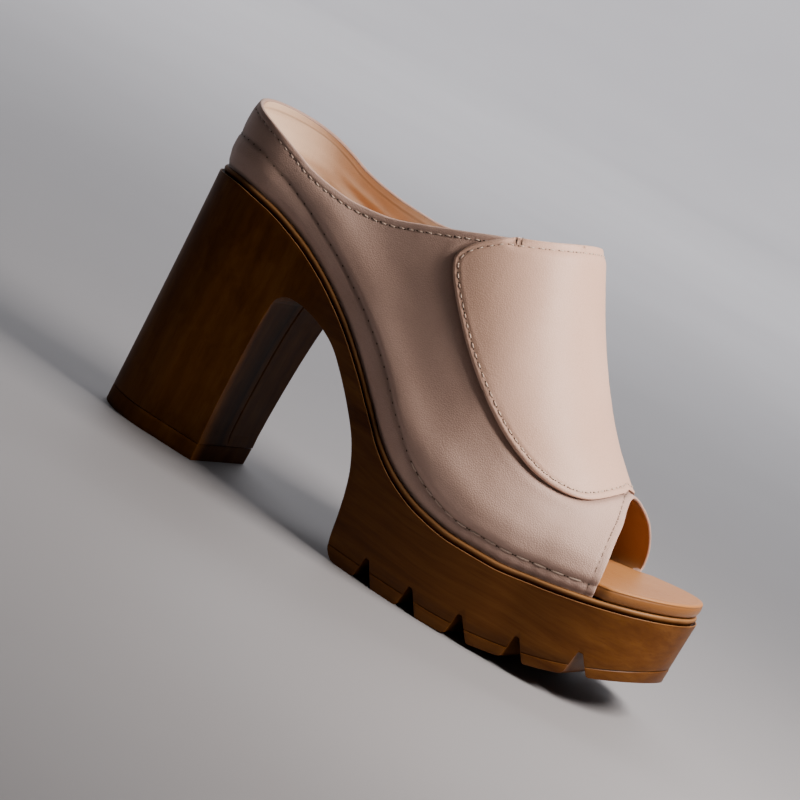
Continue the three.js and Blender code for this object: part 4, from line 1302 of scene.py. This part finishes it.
for side in (-1, 1):
    O = OV[side]
    O["Q"][:, -1] = m
    Q, P, n, rim_d, top_d = O["Q"], O["P"], O["n"], O["rim_d"], O["top_d"]
    # painted shade in the stitch grooves along the edge and below the collar
    sh = 0.34 * np.exp(-(((rim_d - 2.15) / 0.5) ** 2)) + 0.22 * np.exp(-(((top_d - 2.1) / 0.5) ** 2)) * smooth(1.0, 2.2, rim_d)
    verts.append(Q.reshape(-1, 3))
    shade.append(np.clip(sh, 0, 1).ravel())
    f = grid_faces(Q.shape[0], Q.shape[1], count, flip=side > 0)
    faces += f
    ov_v.append(Q.reshape(-1, 3))
    ov_f += grid_faces(Q.shape[0], Q.shape[1], ov_c, flip=side > 0)
    ov_c += Q.shape[0] * Q.shape[1]
    count += Q.shape[0] * Q.shape[1]
    # underside of the turned edge, painted in shade
    for E, inn, nn, tk in ((P[:, 0], unit(P[:, 1] - P[:, 0]), n[:, 0], (O["thin"] * O["end"])[:, 0]), (P[-1], unit(P[-2] - P[-1]), n[-1], (O["thin"] * O["end"])[-1])):
        rows_ = []
        for phi in np.linspace(0, math.pi / 2, 6):
            rows_.append(E + inn * (R_EDGE * (1 - math.cos(phi)) * tk)[:, None] + nn * (R_EDGE * (1 - math.sin(phi)) * tk)[:, None])
        rows_.append(E + inn * (R_EDGE * tk)[:, None] - nn * 1.2)
        rr = np.stack(rows_, 1)
        verts.append(rr.reshape(-1, 3))
        shade.append(np.tile(np.array([0, 0.05, 0.2, 0.5, 0.8, 1.0, 1.0]), len(E)))
        faces += grid_faces(len(E), rr.shape[1], count, flip=side < 0)
        count += rr.shape[0] * rr.shape[1]
    # turned over the collar's edge
    E, nn = P[0], n[0]
    upw = edge_up(E, nn)
    O["up"] = upw
    o0 = O["off"][0][:, None]
    c_, h_ = (o0 - WALL) / 2, (o0 + WALL) / 2
    rows_ = [E + nn * (c_ + h_ * math.cos(phi)) + upw * (0.85 * math.sin(phi)) for phi in np.linspace(0, math.pi, 11)]
    rows_.append(E - nn * (WALL + 0.03) - upw * 2.2)
    rr = np.stack(rows_, 0)
    verts.append(rr.reshape(-1, 3))
    rs = np.zeros(rr.shape[:2])
    # the inner row painted in shade
    rs[-1] = 0.4
    shade.append(rs.ravel())
    faces += grid_faces(rr.shape[0], rr.shape[1], count, flip=side < 0)
    count += rr.shape[0] * rr.shape[1]
overlay = make("vamp_overlay_leather", np.concatenate(verts), faces, M_OVERLAY, shade=np.concatenate(shade))
weld(overlay, 2e-6)
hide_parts("vamp_overlay")

from mathutils.bvhtree import BVHTree

ov_tree = BVHTree.FromPolygons([tuple(v) for v in np.concatenate(ov_v)], [tuple(int(i) for i in f) for f in ov_f])


def onto(points, outward):
    """Nearest points of the overlay's face, with normals that point out."""
    L, N_ = [], []
    for p_, o_ in zip(points, outward):
        loc, nor, _, _ = ov_tree.find_nearest(Vector(p_))
        nor = np.array(nor)
        if nor @ o_ < 0:
            nor = -nor
        L.append(np.array(loc))
        N_.append(nor)
    return np.array(L), np.array(N_)


for side in (-1, 1):
    O = OV[side]
    E = np.concatenate([O["P"][:, 0], O["P"][-1][1:]])
    nn = np.concatenate([O["n"][:, 0], O["n"][-1][1:]])
    inner = np.concatenate([O["P"][:, 12], O["P"][-13][1:]])
    s_ = np.concatenate([[0], np.cumsum(np.linalg.norm(np.diff(E, axis=0), axis=1))])
    u_ = np.linspace(0, s_[-1], 260)
    E, nn, inner = [np.stack([np.interp(u_, s_, A_[:, k]) for k in range(3)], 1) for A_ in (E, nn, inner)]
    tan = unit(np.gradient(E, axis=0))
    side_in = unit(np.cross(nn, tan))
    side_in *= np.sign(((inner - E) * side_in).sum(1, keepdims=True) + 1e-9)
    for _ in range(3):
        side_in[1:-1] = unit(side_in[:-2] + 2 * side_in[1:-1] + side_in[2:])
    S_ = E + side_in * 2.15 + nn * 1.6
    keep = (poly_dist(E + side_in * 2.15, top_line) > 2.0) & (poly_dist(E + side_in * 2.15, rim_line) > 2.0)
    L, Ln = onto(S_[keep], nn[keep])
    T_ = O["P"][0] - O["up"] * 2.1 + O["n"][0] * 1.0
    keep = poly_dist(O["P"][0] - O["up"] * 2.1, rim_line) > 2.05
    T, Tn = onto(T_[keep], O["n"][0][keep])
    # one row: up the edge, round the corner and along the collar
    L, Ln = np.concatenate([L[::-1], T[1:]]), np.concatenate([Ln[::-1], Tn[1:]])
    row(L, Ln, 3.6, 0.56, 0.24, light, 0.14, 0.26, start=0.4, end=0.0)
# toe opening: one row right round
Ma, Na = HALF[-1]["mouth_line"]
Mb, Nb = HALF[1]["mouth_line"]
row(np.concatenate([Ma, Mb[::-1][1:]]), np.concatenate([Na, Nb[::-1][1:]]), 3.2, 0.5, 0.24, shady, 0.06, 0.28)

# two tack stitches over the collar's edge where the overlay's corner starts
for dx_ in (0.0, 1.5):
    E, nn, upw = [np.stack([np.interp(E_, OV[-1]["P"][0][:, 0], A_[:, k]) for k in range(3)], -1) for E_, A_ in (
        (114.2 + dx_, OV[-1]["P"][0]), (114.2 + dx_, OV[-1]["n"][0]), (114.2 + dx_, OV[-1]["up"]))]
    path = [E + nn * 0.8 - upw * 1.8, E + nn * 1.0 - upw * 0.5, E + nn * 0.5 + upw * 0.75, E - nn * 0.35 + upw * 1.2, E - nn * 0.9 + upw * 1.0]
    pth = np.array(smooth_line(path, 0.35))
    shady.tube(pth, np.full(len(pth), 0.17), 7, 1.0, np.tile(np.array([0.1, -0.9, 0.2]), (len(pth), 1)))

light.build("stitches", M_THREAD)
shady.build("stitches_shaded", M_THREAD_DARK)
holes.build("needle_holes", M_HOLE)

# ------------------------------------------------------------------ floor, light, camera
AZ, EL, ROLL = math.radians(17.2), math.radians(9.3), math.radians(28.5)
F_PX, DIST = 3225.0, 1150.0
TARGET = np.array([96.3, 0.2, 54.6]) - ORIGIN
back_v = np.array([math.sin(AZ) * math.cos(EL), -math.cos(AZ) * math.cos(EL), math.sin(EL)])
right_v = np.array([math.cos(AZ), math.sin(AZ), 0.0])
up_v = np.cross(back_v, right_v)
X = math.cos(ROLL) * right_v + math.sin(ROLL) * up_v
Y = -math.sin(ROLL) * right_v + math.cos(ROLL) * up_v


def floor():
    """Pale floor that curves up into a backdrop far behind the shoe."""
    n = Net("floor_matte")
    v = n.mapping((1, 1, 1))
    n.set(Base_Color=n.mix(n.ramp(n.noise(v, 3.0, 3.0), [(0.3, (0, 0, 0)), (0.7, (1, 1, 1))]), (0.25, 0.243, 0.254), (0.275, 0.268, 0.28)), Roughness=0.6)
    away = np.array([-math.sin(AZ), math.cos(AZ)])
    across_ = np.array([math.cos(AZ), math.sin(AZ)])
    profile = [(-6.0, 0.0), (-1.0, 0.0), (0.5, 0.0), (2.4, 0.0)]
    profile += [(2.4 + 1.2 * math.sin(t), 1.2 * (1 - math.cos(t))) for t in np.linspace(0, math.pi / 2, 25)[1:]]
    profile += [(3.6, 5.0)]
    verts, faces = [], []
    for d_, z in profile:
        for w in (-7.0, 7.0):
            q = away * d_ + across_ * w
            verts.append((q[0], q[1], z))
    for i in range(len(profile) - 1):
        faces.append((2 * i, 2 * i + 1, 2 * i + 3, 2 * i + 2))
    me = bpy.data.meshes.new("floor")
    me.from_pydata(verts, [], faces)
    me.polygons.foreach_set("use_smooth", [True] * len(me.polygons))
    me.materials.append(n.m)
    o = bpy.data.objects.new("floor", me)
    COLLECTION.objects.link(o)


floor()

world = bpy.data.worlds.new("studio")
bpy.context.scene.world = world
world.use_nodes = True
bg = world.node_tree.nodes["Background"]
bg.inputs[0].default_value = (0.84, 0.84, 0.88, 1)
bg.inputs[1].default_value = 0.03


def area(name, loc, aim, size, power, color=(1, 1, 1)):
    l = bpy.data.lights.new(name, "AREA")
    l.shape, l.size, l.size_y = "RECTANGLE", size[0], size[1]
    l.energy, l.color = power, color
    o = bpy.data.objects.new(name, l)
    o.location = tuple(loc)
    o.rotation_mode = "QUATERNION"
    o.rotation_quaternion = (Vector(aim) - Vector(loc)).to_track_quat("-Z", "Y")
    COLLECTION.objects.link(o)


aim_at = np.array([0.02, 0.0, 0.06])
key_dir = unit(0.865 * X + 0.34 * Y + 0.37 * back_v)
aim_key = np.array([0.035, -0.03, 0.07])
area("key", aim_key + key_dir * 0.40, aim_key, (0.2, 0.2), 4.6, (1.0, 0.925, 0.86))
top_dir = unit(0.15 * X + 0.95 * Y - 0.35 * back_v)
area("top", aim_at + top_dir * 1.1, aim_at, (0.8, 0.5), 0.45, (0.97, 0.98, 1.0))
area("wash", np.array([-0.55, 0.95, 1.2]), np.array([-0.38, 0.5, 0.0]), (1.0, 0.6), 4.5, (0.98, 0.98, 1.0))
area("backdrop", np.array([-math.sin(AZ) * 1.6, math.cos(AZ) * 1.6, 1.9]), (-math.sin(AZ) * 3.2, math.cos(AZ) * 3.2, 0.3), (3.6, 0.6), 185.0, (0.98, 0.98, 1.0))

cam = bpy.data.cameras.new("camera")
cam.sensor_width = 36.0
cam.lens = F_PX / 800.0 * 36.0
cam.clip_start, cam.clip_end = 0.05, 50.0
co = bpy.data.objects.new("camera", cam)
co.matrix_world = Matrix(((X[0], Y[0], back_v[0], 0), (X[1], Y[1], back_v[1], 0), (X[2], Y[2], back_v[2], 0), (0, 0, 0, 1)))
co.location = (TARGET + back_v * DIST) / 1000.0
COLLECTION.objects.link(co)
bpy.context.scene.camera = co
